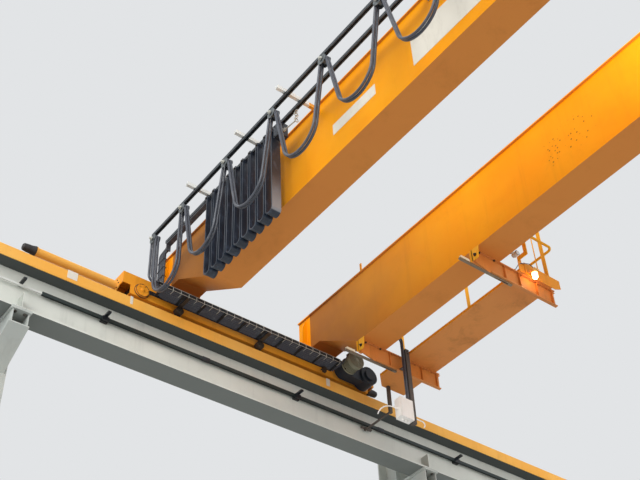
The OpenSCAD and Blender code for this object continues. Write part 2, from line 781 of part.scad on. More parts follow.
// One hanging loop between two saddles: two straight runs and a turn at the bottom
module hanging_loop(i) {
    lean = loop_lean(i);
    half = (stops_x[i + 1] - stops_x[i]) / 2;
    run = (loop_bottom_z + (loop_r + saddle_r) * sin(lean)) / cos(lean);
    translate([stops_x[i] + half, 0, loop_top_z]) {
        translate([0, 0, -loop_bottom_z]) cable_turn(loop_r, 180 + lean, 360 - lean);
        for (s = side_signs)
            translate([s * (half - saddle_r * cos(lean)), 0, saddle_r * sin(lean)]) rotate([0, 180 + s * lean, 0])
                translate([0, 0, joint_gap]) cylinder(d = cable_d, h = run - 2 * joint_gap, $fn = 16);
    }
}

module festoon_loops() {
    last = len(stops_x) - 1;
    color([0.2, 0.23, 0.24])
        for (s = side_signs)
            translate([0, outer_y + s * cable_off, 0]) {
                for (i = [0 : last])
                    translate([stops_x[i], 0, loop_top_z])
                        cable_turn(saddle_r, i == last ? 90 : loop_lean(i), i == 0 ? 180 : 180 - loop_lean(i - 1));
                for (i = [0 : last - 1]) hanging_loop(i);
                translate([stops_x[last] + joint_gap, 0, loop_top_z + saddle_r]) rotate([0, 90, 0])
                    cylinder(d = cable_d, h = tow_x - stops_x[last] - joint_gap, $fn = 16);
            }
}

bundle_first_x = -rail_x + 1440;
flat_t = 16;

// One gathered loop of flat cable, drawn as (along, up) and as wide as the pack
module flat_loop(x) {
    wide = bundle_pitch - 20;
    r = wide / 2;
    top = cable_rail_z - 60;
    translate([x, a_y - inner_rail_off + flat_w / 2, top]) rotate([90, 0, 0]) linear_extrude(flat_w)
        difference() {
            union() {
                translate([-r, -bundle_drop + r]) square([wide, bundle_drop - r]);
                translate([0, -bundle_drop + r]) circle(r = r);
            }
            translate([-r + flat_t, -bundle_drop + r]) square([wide - 2 * flat_t, bundle_drop]);
            translate([0, -bundle_drop + r]) circle(r = r - flat_t);
        }
}

// The flat cables hang from clamps, each with a roller beside the inner rail
module cable_bundle() {
    color([0.12, 0.14, 0.16]) {
        for (i = [0 : bundle_loops - 1]) flat_loop(bundle_first_x + i * bundle_pitch);
        for (i = [0 : bundle_loops])
            translate([bundle_first_x + (i - 0.5) * bundle_pitch, inner_y, 0]) {
                translate([-30, -35, cable_rail_z - 75]) cube([60, 70, 50]);
                translate([-20, -cable_rail_slot / 2 + 2, cable_rail_z - 30]) cube([40, cable_rail_slot - 4, 20]);
                translate([0, -35, cable_rail_z - 50]) rotate([90, 0, 0]) cylinder(d = 74, h = 22);
            }
        translate([bundle_first_x + (bundle_loops - 0.5) * bundle_pitch + 30, inner_y - 60, cable_rail_z - 230])
            cube([110, 120, 200]);
    }
}

inner_clamp_x = festoon_end_x - 20;
strip_w = 66;

// A quarter turn between a cable that stands up and one that lies along the tray
module tray_bend(x, y, level) {
    translate([x, y + drop_bend, tray_cable_z + level * cable_step + drop_bend])
        rotate([0, -90, 0]) rotate([0, 0, 180]) rotate_extrude(angle = 90, $fn = 48)
            translate([drop_bend, 0]) circle(d = cable_d, $fn = 16);
}

module drop_cables() {
        for (k = [0, 1]) {
            y = outer_y + (2 * k - 1) * cable_off;
            z = tray_cable_z + k * cable_step + drop_bend;
            tray_bend(drop_x, y, k);
            translate([drop_x, y, z]) cylinder(d = cable_d, h = loop_top_z - z, $fn = 16);
        }
        for (i = inner_drops) {
            x = drop_x + i * cable_step;
            z = cable_rail_z - 60 + i * cable_step;
            tray_bend(x, inner_y, 0);
            translate([x, inner_y, tray_cable_z + drop_bend])
                cylinder(d = cable_d, h = z - saddle_r - tray_cable_z - drop_bend, $fn = 16);
            translate([x + saddle_r, inner_y, z - saddle_r]) rotate([90, 0, 0]) rotate([0, 0, 90])
                rotate_extrude(angle = 90, $fn = 48) translate([saddle_r, 0]) circle(d = cable_d, $fn = 16);
            translate([x + saddle_r, inner_y, z]) rotate([0, 90, 0])
                cylinder(d = cable_d, h = inner_clamp_x - x - saddle_r, $fn = 16);
        }
        translate([inner_clamp_x, inner_y - 30, cable_rail_z - cable_rail_w / 2 - 4 * cable_step - 10])
            cube([14, 60, 4 * cable_step + 10]);
        translate([inner_clamp_x + 14, inner_y - strip_w / 2, cable_rail_z - 60 - flat_t])
            cube([bundle_first_x - bundle_pitch / 2 - inner_clamp_x - 44, strip_w, flat_t]);
}

// Cross members and service platform beside girder B

cross_z = girder_z - cross_h;
cross_t = 12;
cross_flange = 40;
cross_taper = 240;
cross_y0 = b_y - girder_w / 2 - 20;
platform_y0 = b_y + bottom_plate_w / 2 + platform_gap;
platform_y1 = platform_y0 + platform_w;
cross_y1 = platform_y1 + 110;
cross_far_x = -rail_x + cross_far;
cross_near_x = -rail_x + cross_near;
platform_x0 = -rail_x + platform_start;
platform_x1 = cross_near_x + cross_flange + 20;
gusset_h = 190;
gusset_w = 230;

// A channel with its open side away from the end truck, tapered where it meets girder B's web
module cross_member(x) {
    translate([x, 0, cross_z]) {
        rotate([90, 0, 90]) linear_extrude(cross_t)
            polygon([[cross_y0, 60], [cross_y0 + cross_taper, 0], [cross_y1 - 50, 0], [cross_y1 - 50, cross_h - 40],
                [cross_y1 - 10, cross_h], [cross_y0, cross_h]]);
        translate([0, cross_y0 + cross_taper, 0])
            cube([cross_flange, cross_y1 - 50 - cross_y0 - cross_taper, cross_t]);
        translate([0, cross_y0, cross_h - cross_t]) cube([cross_flange, cross_y1 - 50 - cross_y0, cross_t]);
    }
    // Lifting gusset with a hole on the side that faces the end truck
    translate([x - cross_t, 0, cross_z]) rotate([90, 0, 90]) linear_extrude(cross_t) difference() {
        polygon([[cross_y0 - 10, cross_h], [cross_y0 - 10, 40], [cross_y0 + 30, 40], [cross_y0 + gusset_w, cross_h]]);
        translate([cross_y0 + 70, cross_h - 70]) circle(d = 44);
    }
}

module cross_members() {
    color("orange") {
        cross_member(cross_far_x);
        cross_member(cross_near_x);
    }
}

pan_t = 6;
pan_lip = 40;
panel_y0 = platform_y0 + 100;
corner_cut = 160;
rail_block_t = 20;

// Open topped pan with a cut corner near the end truck and a taller end panel that juts out at its side
module platform() {
    color("orange") {
        translate([0, 0, girder_z]) difference() {
            linear_extrude(platform_h) platform_plan(0);
            translate([0, 0, pan_t]) linear_extrude(platform_h) platform_plan(pan_t);
            translate([platform_x0 - eps, platform_y0 - eps, pan_lip])
                cube([platform_x1 - platform_x0 - pan_t + eps, 2 * pan_t + corner_cut, platform_h]);
        }
        translate([platform_x1, 0, girder_z]) rotate([90, 0, 90]) linear_extrude(pan_t)
            polygon([[panel_y0, 0], [cross_y1 - 60, 0], [cross_y1 + 50, 50], [cross_y1 + 50, platform_h + 20],
                [panel_y0, platform_h + 20]]);
        translate([platform_x1 - pan_t - rail_block_t - joint_gap, platform_y0 + 40, girder_z + platform_h - 10])
            cube([rail_block_t, 30, 110]);
    }
}

module platform_plan(inset) {
    cut = corner_cut - inset;
    polygon([[platform_x0 + cut, platform_y0 + inset], [platform_x1 - inset, platform_y0 + inset],
        [platform_x1 - inset, platform_y1 - inset], [platform_x0 + inset, platform_y1 - inset],
        [platform_x0 + inset, platform_y0 + inset + cut]]);
}

post_t = 12;
post_w = 50;
bend_r = 70;
rod_d = 14;
rail_y = platform_y1 + post_t + handrail_d / 2;
rail_in_x = platform_x1 + 40;

// Flat posts, a top and a middle rail that turn inwards at the open end, and a thin stay rod
module handrail() {
    deck_z = girder_z + platform_h;
    color("orange") {
        for (x = [platform_x0 + 60, (platform_x0 + platform_x1) / 2, platform_x1 - post_w - 10])
            translate([x, platform_y1, girder_z + 40]) cube([post_w, post_t, platform_h + handrail_h - 40]);
        for (z = [deck_z + handrail_h - handrail_d / 2, deck_z + handrail_h * 0.38]) {
            translate([platform_x0 + 60, rail_y, z]) rotate([0, 90, 0])
                cylinder(d = handrail_d, h = rail_in_x - platform_x0 - 60, $fn = 24);
            translate([rail_in_x, rail_y - bend_r, z]) rotate_extrude(angle = 90, $fn = 48)
                translate([bend_r, 0]) circle(d = handrail_d, $fn = 24);
            translate([rail_in_x + bend_r, platform_y0 + 40, z]) rotate([-90, 0, 0])
                cylinder(d = handrail_d, h = rail_y - bend_r - platform_y0 - 40, $fn = 24);
        }
        translate([rail_in_x + bend_r - post_w / 2, platform_y0 + 40 - post_t, deck_z + 30])
            cube([post_w, post_t, handrail_h - 30]);
        translate([platform_x1 - 25, platform_y0 + 40 - post_t, deck_z + 30])
            cube([rail_in_x + bend_r - platform_x1 + 25, post_t, 60]);
        translate([platform_x1 - 150, platform_y1 + rod_d / 2, girder_z + 200])
            cylinder(d = rod_d, h = platform_h + handrail_h - 200 - handrail_d, $fn = 16);
    }
}

beacon_x = platform_x1 + pan_t;
beacon_y = panel_y0 + 80;
beacon_drop = -50;

// A lit beacon that hangs lens down from an arm on the platform's end panel
module beacon() {
    color([1, 0.75, 0.3])
        translate([beacon_x, beacon_y, girder_z + beacon_drop]) {
            translate([0, -40, 90]) cube([110, 80, 10]);
            translate([60, 0, 60]) cylinder(d = 80, h = 30);
            translate([60, 0, 0]) cylinder(d1 = 62, d2 = 72, h = 60);
            translate([60, 0, 0]) sphere(d = 62);
        }
}

lamp_x = cross_near_x + 150;
lamp_d = 66;
lamp_out = 190;

// A small round floodlight on girder B's web, lens towards the hall's side
module lamp() {
    color([0.85, 0.83, 0.8])
        translate([lamp_x, b_y + girder_w / 2, girder_z + 130]) {
            translate([-9, 0, -9]) cube([18, lamp_out - lamp_d / 2 + 12, 18]);
            translate([0, lamp_out, 0]) rotate([0, 90, 0]) cylinder(d = lamp_d, h = 60, center = true);
            translate([-30, lamp_out, 0]) rotate([0, -90, 0]) cylinder(d1 = lamp_d, d2 = lamp_d - 18, h = 16);
        }
}

mast_side = 60;
mast_gap = 80;
mast_x = cross_far_x + cross_flange + mast_gap;
mast_y = platform_y0 - 75;
box_top_z = girder_z - box_below;
box_w = 110;
box_l = 200;
box_h = 280;
arm_t = 40;
shoe_t = 22;
shoe_gap = 18;
collector_x = platform_x0 + 20;
collector_y = platform_y0 + corner_cut + 60;

// The mast holds the junction box; the bent arm below the platform's end holds the current collector
module box_mast() {
    shoe_z = conductor_top - conductor_h - 2 * shoe_gap;
    color([0.45, 0.42, 0.4]) {
        translate([cross_far_x + cross_t, mast_y - 25, cross_z + cross_t])
            cube([mast_x - cross_far_x - cross_t, arm_t, 20]);
        translate([mast_x, mast_y - mast_side / 2, box_top_z - box_h - 20])
            cube([mast_side, mast_side, girder_z + 40 - box_top_z + box_h]);
        translate([collector_x, collector_y, shoe_z - 2 * shoe_t]) cube([arm_t, arm_t, girder_z - shoe_z + 2 * shoe_t]);
        translate([conductor_x, collector_y, shoe_z - 2 * shoe_t])
            cube([collector_x - conductor_x, shoe_t, shoe_t]);
        translate([conductor_x, collector_y - 60, shoe_z - shoe_t]) cube([conductor_w, 170, shoe_t]);
    }
}

whip_d = 14;
whip_r = 300;

module whip_turn(r, from, to) {
    rotate([90, 0, 90]) rotate([0, 0, from]) rotate_extrude(angle = to - from, $fn = 48)
        translate([r, 0]) circle(d = whip_d, $fn = 24);
}

// The box carries a short whip cable on each side: one arches out and down, the other hooks back
module junction_box() {
    x = mast_x + mast_side / 2;
    y0 = mast_y - mast_side / 2 - box_l;
    color("white") {
        translate([x - box_w / 2, y0, box_top_z - box_h]) difference() {
            cube([box_w, box_l, box_h]);
            translate([box_w - 4, 12, -eps]) cube([4 + eps, 3, box_h + 2 * eps]);
            translate([-eps, 12, -eps]) cube([4 + eps, 3, box_h + 2 * eps]);
        }
        translate([x, y0 - 60, box_top_z - 160]) rotate([-90, 0, 0])
            cylinder(d = whip_d, h = 60 - joint_gap, $fn = 24);
        translate([x, y0 - 60 - joint_gap, box_top_z - 160 - whip_r]) whip_turn(whip_r, 90, 160);
        translate([x, y0 + box_l + mast_side + joint_gap, box_top_z - 200]) rotate([-90, 0, 0])
            cylinder(d = whip_d, h = 120 - joint_gap, $fn = 24);
        translate([x, y0 + box_l + mast_side + 120 + joint_gap, box_top_z - 240]) whip_turn(40, -60, 90);
    }
}

guide_t = 20;
guide_w = 32;
guide_in = 240;
guide_l = 830;
guide_slot = 16;

// A bar below each cross member with a pale stop block at its inner end and a slotted plate at the other
module guide_bars() {
    y0 = cross_y0 - guide_in;
    for (x = [cross_far_x, cross_near_x]) {
        color([0.4, 0.4, 0.4]) translate([x - guide_w / 2, y0, cross_z - guide_t]) difference() {
            cube([guide_w, guide_l, guide_t]);
            translate([(guide_w - guide_slot) / 2, guide_l - 260, -eps]) cube([guide_slot, 200, guide_t + 2 * eps]);
        }
        color([0.85, 0.85, 0.82]) translate([x - guide_w / 2, y0 + 20, cross_z]) cube([guide_w, 130, 36]);
    }
}

// Hoist crab

beam_w = 160;
beam_h = 240;
beam_wall = 20;
shaft_d = 90;
crab_axle_d = 50;
pedestal_t = 30;
crab_z = girder_top + trolley_rail_h + crab_wheel_d / 2 + wheel_seat;
beam_z = crab_z - 60;
crab_half = crab_wheelbase / 2 + 220;
bearer_x = drum_l / 2 + 90;
drum_z = beam_z + beam_h + drum_d / 2 + 60;

module crab_frame() {
    color("orange")
        translate([crab_x, bridge_y, 0]) {
            for (s = side_signs)
                translate([0, s * gauge / 2, 0]) difference() {
                    translate([-crab_half, -beam_w / 2, beam_z]) cube([2 * crab_half, beam_w, beam_h]);
                    for (e = side_signs) {
                        translate([e * crab_wheelbase / 2 - crab_wheel_d / 2 - 20, -45, beam_z - eps])
                            cube([crab_wheel_d + 40, 90, beam_h - beam_wall + eps]);
                        translate([e * crab_wheelbase / 2, 0, crab_z]) rotate([90, 0, 0])
                            cylinder(d = crab_axle_d + 2 * axle_fit, h = beam_w + 2 * eps, center = true);
                    }
                }
            for (e = side_signs) {
                translate([e * bearer_x - 60, -gauge / 2 + beam_w / 2, beam_z]) cube([120, gauge - beam_w, beam_h]);
                translate([e * bearer_x, 0, 0]) rotate([90, 0, 90]) linear_extrude(pedestal_t, center = true)
                    difference() {
                        polygon([[-260, beam_z + beam_h], [260, beam_z + beam_h], [130, drum_z + 90], [-130, drum_z + 90]]);
                        translate([0, drum_z]) circle(d = shaft_d + 2 * axle_fit);
                    }
            }
        }
    color("orange") tow_arm();
}

// The crab tows the last cable carrier with an arm that reaches round the outside of the festoon arms
tow_x = carriers_x[loops] + cheek_d / 2 + 10;
tow_t = 40;
tow_out = arm_tip + 40;

module tow_arm() {
    translate([tow_x, 0, 0]) {
        translate([0, a_y - tow_out - tow_t, beam_z]) cube([tow_t, tow_out + tow_t - beam_w / 2, tow_t]);
        translate([0, a_y - tow_out - tow_t, loop_top_z]) cube([tow_t, tow_t, beam_z - loop_top_z]);
        translate([0, a_y - tow_out - tow_t, loop_top_z]) cube([tow_t, tow_out - outer_rail_off + tow_t + 50, saddle_r + cable_d / 2 + 5]);
    }
    translate([tow_x, a_y - beam_w / 2 - tow_t, beam_z]) cube([crab_x - crab_half - tow_x + tow_t, tow_t, tow_t]);
}

module crab_wheels() {
    color([0.4, 0.4, 0.4])
        for (e = side_signs)
            for (s = side_signs)
                translate([crab_x + e * crab_wheelbase / 2, bridge_y + s * gauge / 2, crab_z]) rotate([90, 0, 0]) {
                    cylinder(d = crab_wheel_d, h = trolley_rail_w + 8, center = true);
                    for (m = side_signs)
                        translate([0, 0, m * (trolley_rail_w / 2 + 10)]) cylinder(d = crab_wheel_d + 24, h = 12, center = true);
                    cylinder(d = crab_axle_d, h = beam_w + 30, center = true);
                }
}

module hoist_drum() {
    color([0.5, 0.5, 0.48])
        translate([crab_x, bridge_y, drum_z]) rotate([0, 90, 0]) {
            cylinder(d = drum_d - 2 * rope_d, h = drum_l, center = true);
            for (m = side_signs)
                translate([0, 0, m * (drum_l / 2 - 10)]) cylinder(d = drum_d + 60, h = 20, center = true);
            for (i = [0 : 23])
                translate([0, 0, (i - 11.5) * 36]) cylinder(d = drum_d, h = 20, center = true);
            cylinder(d = shaft_d, h = 2 * bearer_x + pedestal_t, center = true);
        }
}

module hoist_motor() {
    color([0.2, 0.35, 0.5])
        translate([crab_x + bearer_x + pedestal_t / 2, bridge_y, drum_z]) {
            translate([0, -230, -beam_h]) cube([200, 460, 2 * beam_h - 30]);
            translate([200, 0, 60]) rotate([0, 90, 0]) cylinder(d = 300, h = 420);
        }
}

hook_z = girder_z - hook_below;
fall_x = [-270, -90, 90, 270];
fall_r = drum_d / 2 + rope_d / 2 + cable_seat;
sheave_lip = 24;
sheave_w = 44;

// Each rope runs down from the drum, round a sheave of the hook block and back up
module hoist_ropes() {
    color([0.35, 0.35, 0.34])
        for (x = fall_x)
            translate([crab_x + x, bridge_y, hook_z]) {
                for (m = side_signs)
                    translate([0, m * fall_r, 0]) cylinder(d = rope_d, h = drum_z - hook_z, $fn = 16);
                rotate([90, 0, 90]) rotate([0, 0, 180]) rotate_extrude(angle = 180, $fn = 72)
                    translate([fall_r, 0]) circle(d = rope_d, $fn = 16);
            }
}

module hook_block() {
    color("gold")
        translate([crab_x, bridge_y, hook_z]) {
            rotate([0, 90, 0]) {
                for (x = fall_x) translate([0, 0, x]) {
                    cylinder(d = drum_d, h = sheave_w, center = true);
                    for (m = side_signs)
                        translate([0, 0, m * (sheave_w / 2 - 6)])
                            cylinder(d = drum_d + 2 * sheave_lip, h = 12, center = true);
                }
                cylinder(d = 70, h = 700, center = true);
            }
            for (x = [-340, -180, 0, 180, 340])
                translate([x - 10, -110, -330]) cube([20, 220, 450]);
            translate([-350, -90, -360]) cube([700, 180, 80]);
        }
    color([0.25, 0.25, 0.25])
        translate([crab_x, bridge_y, hook_z - 360]) {
            translate([0, 0, -140]) cylinder(d = 70, h = 140);
            translate([0, 0, -290]) rotate([90, 0, 90]) rotate([0, 0, -200]) rotate_extrude(angle = 290)
                translate([120, 0]) circle(d = 76);
        }
}

columns();
runway_beams();
cap_channels();
runway_rails();
end_stops();
conductor_bar();
conductor_hangers();
girder_a();
girder_b();
trolley_rails();
end_truck_left();
end_truck_right();
wheel_axles();
wheel_left_a();
wheel_left_b();
wheel_right_a();
wheel_right_b();
buffer_tubes();
buffers();
drive_gearboxes();
drive_motors();
cable_tray();
tray_brackets();
tray_cables();
festoon_arms();
festoon_rails();
festoon_carriers();
festoon_loops();
cable_bundle();
runway_marks();
girder_plates();
cross_members();
platform();
handrail();
beacon();
lamp();
junction_box();
box_mast();
guide_bars();
crab_frame();
crab_wheels();
hoist_drum();
hoist_motor();
hoist_ropes();
hook_block();
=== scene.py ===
"""Overhead bridge crane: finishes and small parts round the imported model, with floor, light and camera."""

import math
import random

import bmesh
import bpy
from mathutils import Matrix, Vector


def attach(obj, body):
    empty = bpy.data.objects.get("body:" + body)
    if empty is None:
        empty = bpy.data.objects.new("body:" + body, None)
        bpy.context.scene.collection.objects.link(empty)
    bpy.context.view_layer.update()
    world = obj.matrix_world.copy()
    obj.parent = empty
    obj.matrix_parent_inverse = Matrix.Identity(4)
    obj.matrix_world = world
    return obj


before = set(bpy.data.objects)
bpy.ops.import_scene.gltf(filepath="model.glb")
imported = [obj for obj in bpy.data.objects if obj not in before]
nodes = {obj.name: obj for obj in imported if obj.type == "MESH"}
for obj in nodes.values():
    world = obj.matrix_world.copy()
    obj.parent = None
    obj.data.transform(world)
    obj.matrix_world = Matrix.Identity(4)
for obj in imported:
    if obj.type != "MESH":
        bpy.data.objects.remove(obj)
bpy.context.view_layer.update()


# Shader expressions

class Signal:
    """One output socket of a shader tree; arithmetic on it adds Math nodes."""

    def __init__(self, finish, socket):
        self.finish = finish
        self.socket = socket

    def math(self, operation, *values, clamp=False):
        return self.finish.node("ShaderNodeMath", {"operation": operation, "use_clamp": clamp}, *values)

    def __add__(self, other):
        return self.math("ADD", self, other)

    __radd__ = __add__

    def __sub__(self, other):
        return self.math("SUBTRACT", self, other)

    def __rsub__(self, other):
        return self.math("SUBTRACT", other, self)

    def __mul__(self, other):
        return self.math("MULTIPLY", self, other)

    __rmul__ = __mul__

    def __gt__(self, other):
        return self.math("GREATER_THAN", self, other)

    def __lt__(self, other):
        return self.math("LESS_THAN", self, other)

    def __abs__(self):
        return self.math("ABSOLUTE", self)

    def sine(self):
        return self.math("SINE", self)

    def clamped(self):
        return self.math("ADD", self, 0.0, clamp=True)

    def between(self, low, high):
        """0 at low, 1 at high, smooth between."""
        smooth = {"interpolation_type": "SMOOTHSTEP"}
        return self.finish.node("ShaderNodeMapRange", smooth, self, low, high, 0.0, 1.0)


def linear(colour):
    """A colour written as 0 to 255 screen values, as the shader's linear values."""
    shares = [value / 255 for value in colour]
    return tuple(s / 12.92 if s <= 0.04045 else ((s + 0.055) / 1.055) ** 2.4 for s in shares) + (1.0,)


DUST = linear((150, 140, 122))
MUD = linear((112, 96, 78))
RUST_SPOT = linear((128, 70, 10))
WORN_STEEL = linear((86, 78, 70))


class Shading:
    """A node tree, with one way to make its nodes and fill their sockets."""

    def __init__(self, tree):
        self.tree = tree

    def node(self, kind, settings, *values, output=0, **named):
        """A node with its settings, then its sockets by order or by name; None leaves a socket alone."""
        made = self.tree.nodes.new(kind)
        for key, value in settings.items():
            setattr(made, key, value)
        for key, value in [*enumerate(values), *named.items()]:
            self.feed(made.inputs[key], value)
        return Signal(self, made.outputs[output])

    def feed(self, socket, value):
        if isinstance(value, Signal):
            self.tree.links.new(value.socket, socket)
        elif value is not None:
            socket.default_value = value


class Finish(Shading):
    """A procedural material for one of the crane's finishes."""

    def __init__(self, name, roughness=0.5, metallic=0.0, specular=0.5, coat=0.0):
        self.material = bpy.data.materials.new(name)
        self.material.use_nodes = True
        super().__init__(self.material.node_tree)
        self.shader = self.tree.nodes["Principled BSDF"]
        self.set("Roughness", roughness)
        self.set("Metallic", metallic)
        self.set("Specular IOR Level", specular)
        self.set("Coat Weight", coat)
        self.set("Coat Roughness", 0.1)
        self.place = self.node("ShaderNodeTexCoord", {}, output="Object")
        self.facing = self.node("ShaderNodeNewGeometry", {}, output="Normal")

    def set(self, socket, value):
        self.feed(self.shader.inputs[socket], value)

    def mix(self, share, a, b):
        """Colour a where share is 0 and b where it is 1. The skipped sockets are for numbers and vectors."""
        skipped = [None] * 5
        return self.node("ShaderNodeMix", {"data_type": "RGBA"}, share, *skipped, a, b, output=2)

    def scaled(self, scale):
        return self.node("ShaderNodeMapping", {}, self.place, (0, 0, 0), (0, 0, 0), scale)

    def noise(self, scale, detail=3.0, roughness=0.55, stretch=(1, 1, 1), distortion=0.0):
        return self.node("ShaderNodeTexNoise", {}, Vector=self.scaled(stretch), Scale=scale, Detail=detail,
                         Roughness=roughness, Distortion=distortion)

    def cells(self, scale, stretch=(1, 1, 1), output="Distance"):
        place = self.scaled(stretch)
        return self.node("ShaderNodeTexVoronoi", {"feature": "F1"}, Vector=place, Scale=scale, output=output)

    def along(self, axis):
        return self.node("ShaderNodeSeparateXYZ", {}, self.place, output="XYZ"[axis])

    def normal_along(self, axis):
        return self.node("ShaderNodeSeparateXYZ", {}, self.facing, output="XYZ"[axis])

    def corners(self, distance):
        """1 in a corner between pieces, 0 on open surfaces."""
        return 1 - self.node("ShaderNodeAmbientOcclusion", {"samples": 6}, Distance=distance, output="AO")

    def bump(self, height, strength, distance):
        self.set("Normal", self.node("ShaderNodeBump", {}, strength, distance, Height=height))


FAR_GIRDER_FROM = 0.9
GIRDER_WEB_END = 9.62


def splashed(f, colour, strength):
    """Dirt thrown up on the foot of a column."""
    low_down = 1 - (f.along(2) + f.noise(3.0, 4.0) * 0.5).between(0.1, 0.9)
    blots = f.noise(11.0, 5.0, 0.7).between(0.35, 0.7)
    return f.mix((low_down * (blots * 0.6 + 0.3) * strength).clamped(), colour, MUD)


def rust_spotted(f, colour, side, x, z):
    """A patch of rust spots on the far girder's web."""
    near = (1 - abs(f.along(0) - x).between(0.12, 0.5)) * (1 - abs(f.along(2) - z).between(0.08, 0.3))
    spots = 1 - f.cells(19.0).between(0.16, 0.24)
    kept = f.noise(9.0, 2.0).between(0.44, 0.5) * (f.along(1) > FAR_GIRDER_FROM)
    return f.mix(spots * kept * near.between(0.1, 0.4) * side * 0.8, colour, RUST_SPOT)


def shaded_girder_ends(f, colour, side, end_shade_colour):
    """Painted shade on both ends of a girder, thinner on the flat plates."""
    along = abs(f.along(0))
    web_face = abs(f.normal_along(1)).between(0.5, 0.9) * (along < GIRDER_WEB_END)
    # This mix is painted shade, not dirt.
    overlay = along.between(6.3, 9.3) * web_face * 0.9 + along.between(8.6, 9.2) * (1 - side) * 0.55
    return f.mix((overlay * (f.noise(1.4, 4.0) * 0.5 + 0.7)).clamped(), colour, linear(end_shade_colour))


def painted_ledge_shade(f, colour, up, height, shade, end_shade):
    """Painted shade: dark undersides of the flange above that height, and darker faces at the runway's near
    end.
    """
    flange_shade = (f.along(2) > height) * (0 - up).between(0.5, 0.95)
    colour = f.mix(flange_shade * 0.85, colour, linear(shade))
    return f.mix((0 - f.normal_along(1)).between(0.7, 0.95) * 0.7, colour, linear(end_shade))


def worn(f, colour, strength):
    """Chips down to the steel, in patches."""
    chips = f.cells(24.0).between(0.0, 0.35)
    bare = (1 - chips) * f.noise(5.0, 3.0).between(0.6, 0.7) * strength
    return f.mix(bare, colour, WORN_STEEL)


def studs(f, pitch):
    """Raised studs of a tread plate, in diagonal rows."""
    slant = (f.along(0) + f.along(1)) * pitch
    counter = (f.along(0) - f.along(1)) * pitch
    return (slant.sine() * counter.sine()) > 0.7


def paint(name, base, pale, grime_and_shade, roughness=0.5, dirt=0.35, specular=0.25, wear=0.0, low=None, tread=0.0,
          ledge=None, girder_end_shade=None, rust_spots=None, splash=0.0):
    """Workshop paint: slow changes of tone, dust on top, drips down the sides, dirt and painted shade in the
    corners.

    low is the painted shade of undersides, a darker colour on faces that look down, with dirt patches in it;
    tread how close the platform's studs stand; ledge the height and two colours of painted shade on the
    runway, under its top flange and on the darker faces at its near end; browned the colour of painted
    shade on girder ends; rust_spots the place of rust on the far girder as x and z; and splash the strength
    of the dirt low on a column.
    """
    f = Finish(name, roughness=roughness, specular=specular)
    tone = f.noise(0.9, 4.0, 0.6).between(0.3, 0.75)
    colour = f.mix(tone, linear(base), linear(pale))
    up = f.normal_along(2)
    side = (1 - abs(up)).clamped()
    drips = f.noise(7.0, 5.0, 0.65, (1, 1, 0.07)).between(0.52, 0.8) * side
    patches = f.noise(2.6, 6.0, 0.7, distortion=0.4).between(0.5, 0.78)
    specks = 1 - f.cells(38.0).between(0.02, 0.09)
    sparse = f.noise(1.7, 2.0).between(0.6, 0.68)
    # Painted shade: ambient occlusion darkens the corners; below it is mixed with real drips, patches and
    # specks.
    corner_dirt_and_shade = f.corners(0.12).between(0.25, 0.9)
    dirt_and_corner_shade = (drips * 0.55 + patches * 0.45 + corner_dirt_and_shade * 0.9) * dirt + specks * sparse * 0.5
    colour = f.mix(dirt_and_corner_shade.clamped(), colour, linear(grime_and_shade))
    dust = up.between(0.6, 0.95) * f.noise(3.3, 5.0).between(0.2, 0.7)
    colour = f.mix(dust * 0.55, colour, DUST)
    # Painted shade: faces that look down take the darker low colour, with dirt patches in it.
    if low:
        underside_shade = f.mix(patches * dirt, linear(low), linear(grime_and_shade))
        colour = f.mix((0 - up).between(0.5, 0.95) * 0.85, colour, underside_shade)
    if splash:
        colour = splashed(f, colour, splash)
    if rust_spots:
        colour = rust_spotted(f, colour, side, *rust_spots)
    # Painted shade on the girders' ends.
    if girder_end_shade:
        colour = shaded_girder_ends(f, colour, side, girder_end_shade)
    # Painted shade under the runway's top flange and on its near-end faces.
    if ledge:
        colour = painted_ledge_shade(f, colour, up, *ledge)
    if wear:
        colour = worn(f, colour, wear)
    f.set("Base Color", colour)
    f.set("Roughness", (f.noise(6.0, 4.0) * 0.16 + (roughness - 0.08) + dust * 0.35 + dirt_and_corner_shade * 0.2).clamped())
    peel = f.noise(160.0, 2.0) * 0.25 + f.noise(2.2, 3.0) * 1.0
    if tread:
        peel = peel + studs(f, tread) * up.between(0.9, 0.99) * 2.5
    f.bump(peel, 0.12, 0.002)
    return f.material


def steel(name, base, dark, roughness=0.4, metallic=0.85, scale=9.0, stretch=(1, 1, 1), rust=0.0):
    """Bare or galvanised steel with mottled tone, stains, dirt and painted shade in corners and, where it
    weathers, rust.
    """
    f = Finish(name, roughness=roughness, metallic=metallic)
    spangle = f.cells(scale * 4, stretch, output="Color")
    mottled = f.node("ShaderNodeSeparateColor", {}, spangle) * 0.45 + f.noise(scale, 4.0, 0.6, stretch) * 0.6
    colour = f.mix(mottled.between(0.25, 0.85), linear(dark), linear(base))
    stains = f.noise(3.0, 5.0, 0.7).between(0.55, 0.75)
    # Stains, and painted shade where ambient occlusion finds corners.
    colour = f.mix(stains * 0.35 + f.corners(0.06).between(0.3, 0.9) * 0.35, colour, linear((52, 47, 42)))
    if rust:
        rusty = f.noise(5.5, 6.0, 0.75).between(0.58 - rust * 0.2, 0.72) * rust
        colour = f.mix(rusty, colour, linear((112, 62, 32)))
        f.set("Metallic", metallic - rusty * metallic)
    f.set("Base Color", colour)
    f.set("Roughness", (mottled * 0.25 + roughness - 0.1 + stains * 0.15).clamped())
    f.bump(f.noise(scale * 12, 3.0, 0.6, stretch), 0.1, 0.001)
    return f.material


LAST_LOOP_X = -7.06


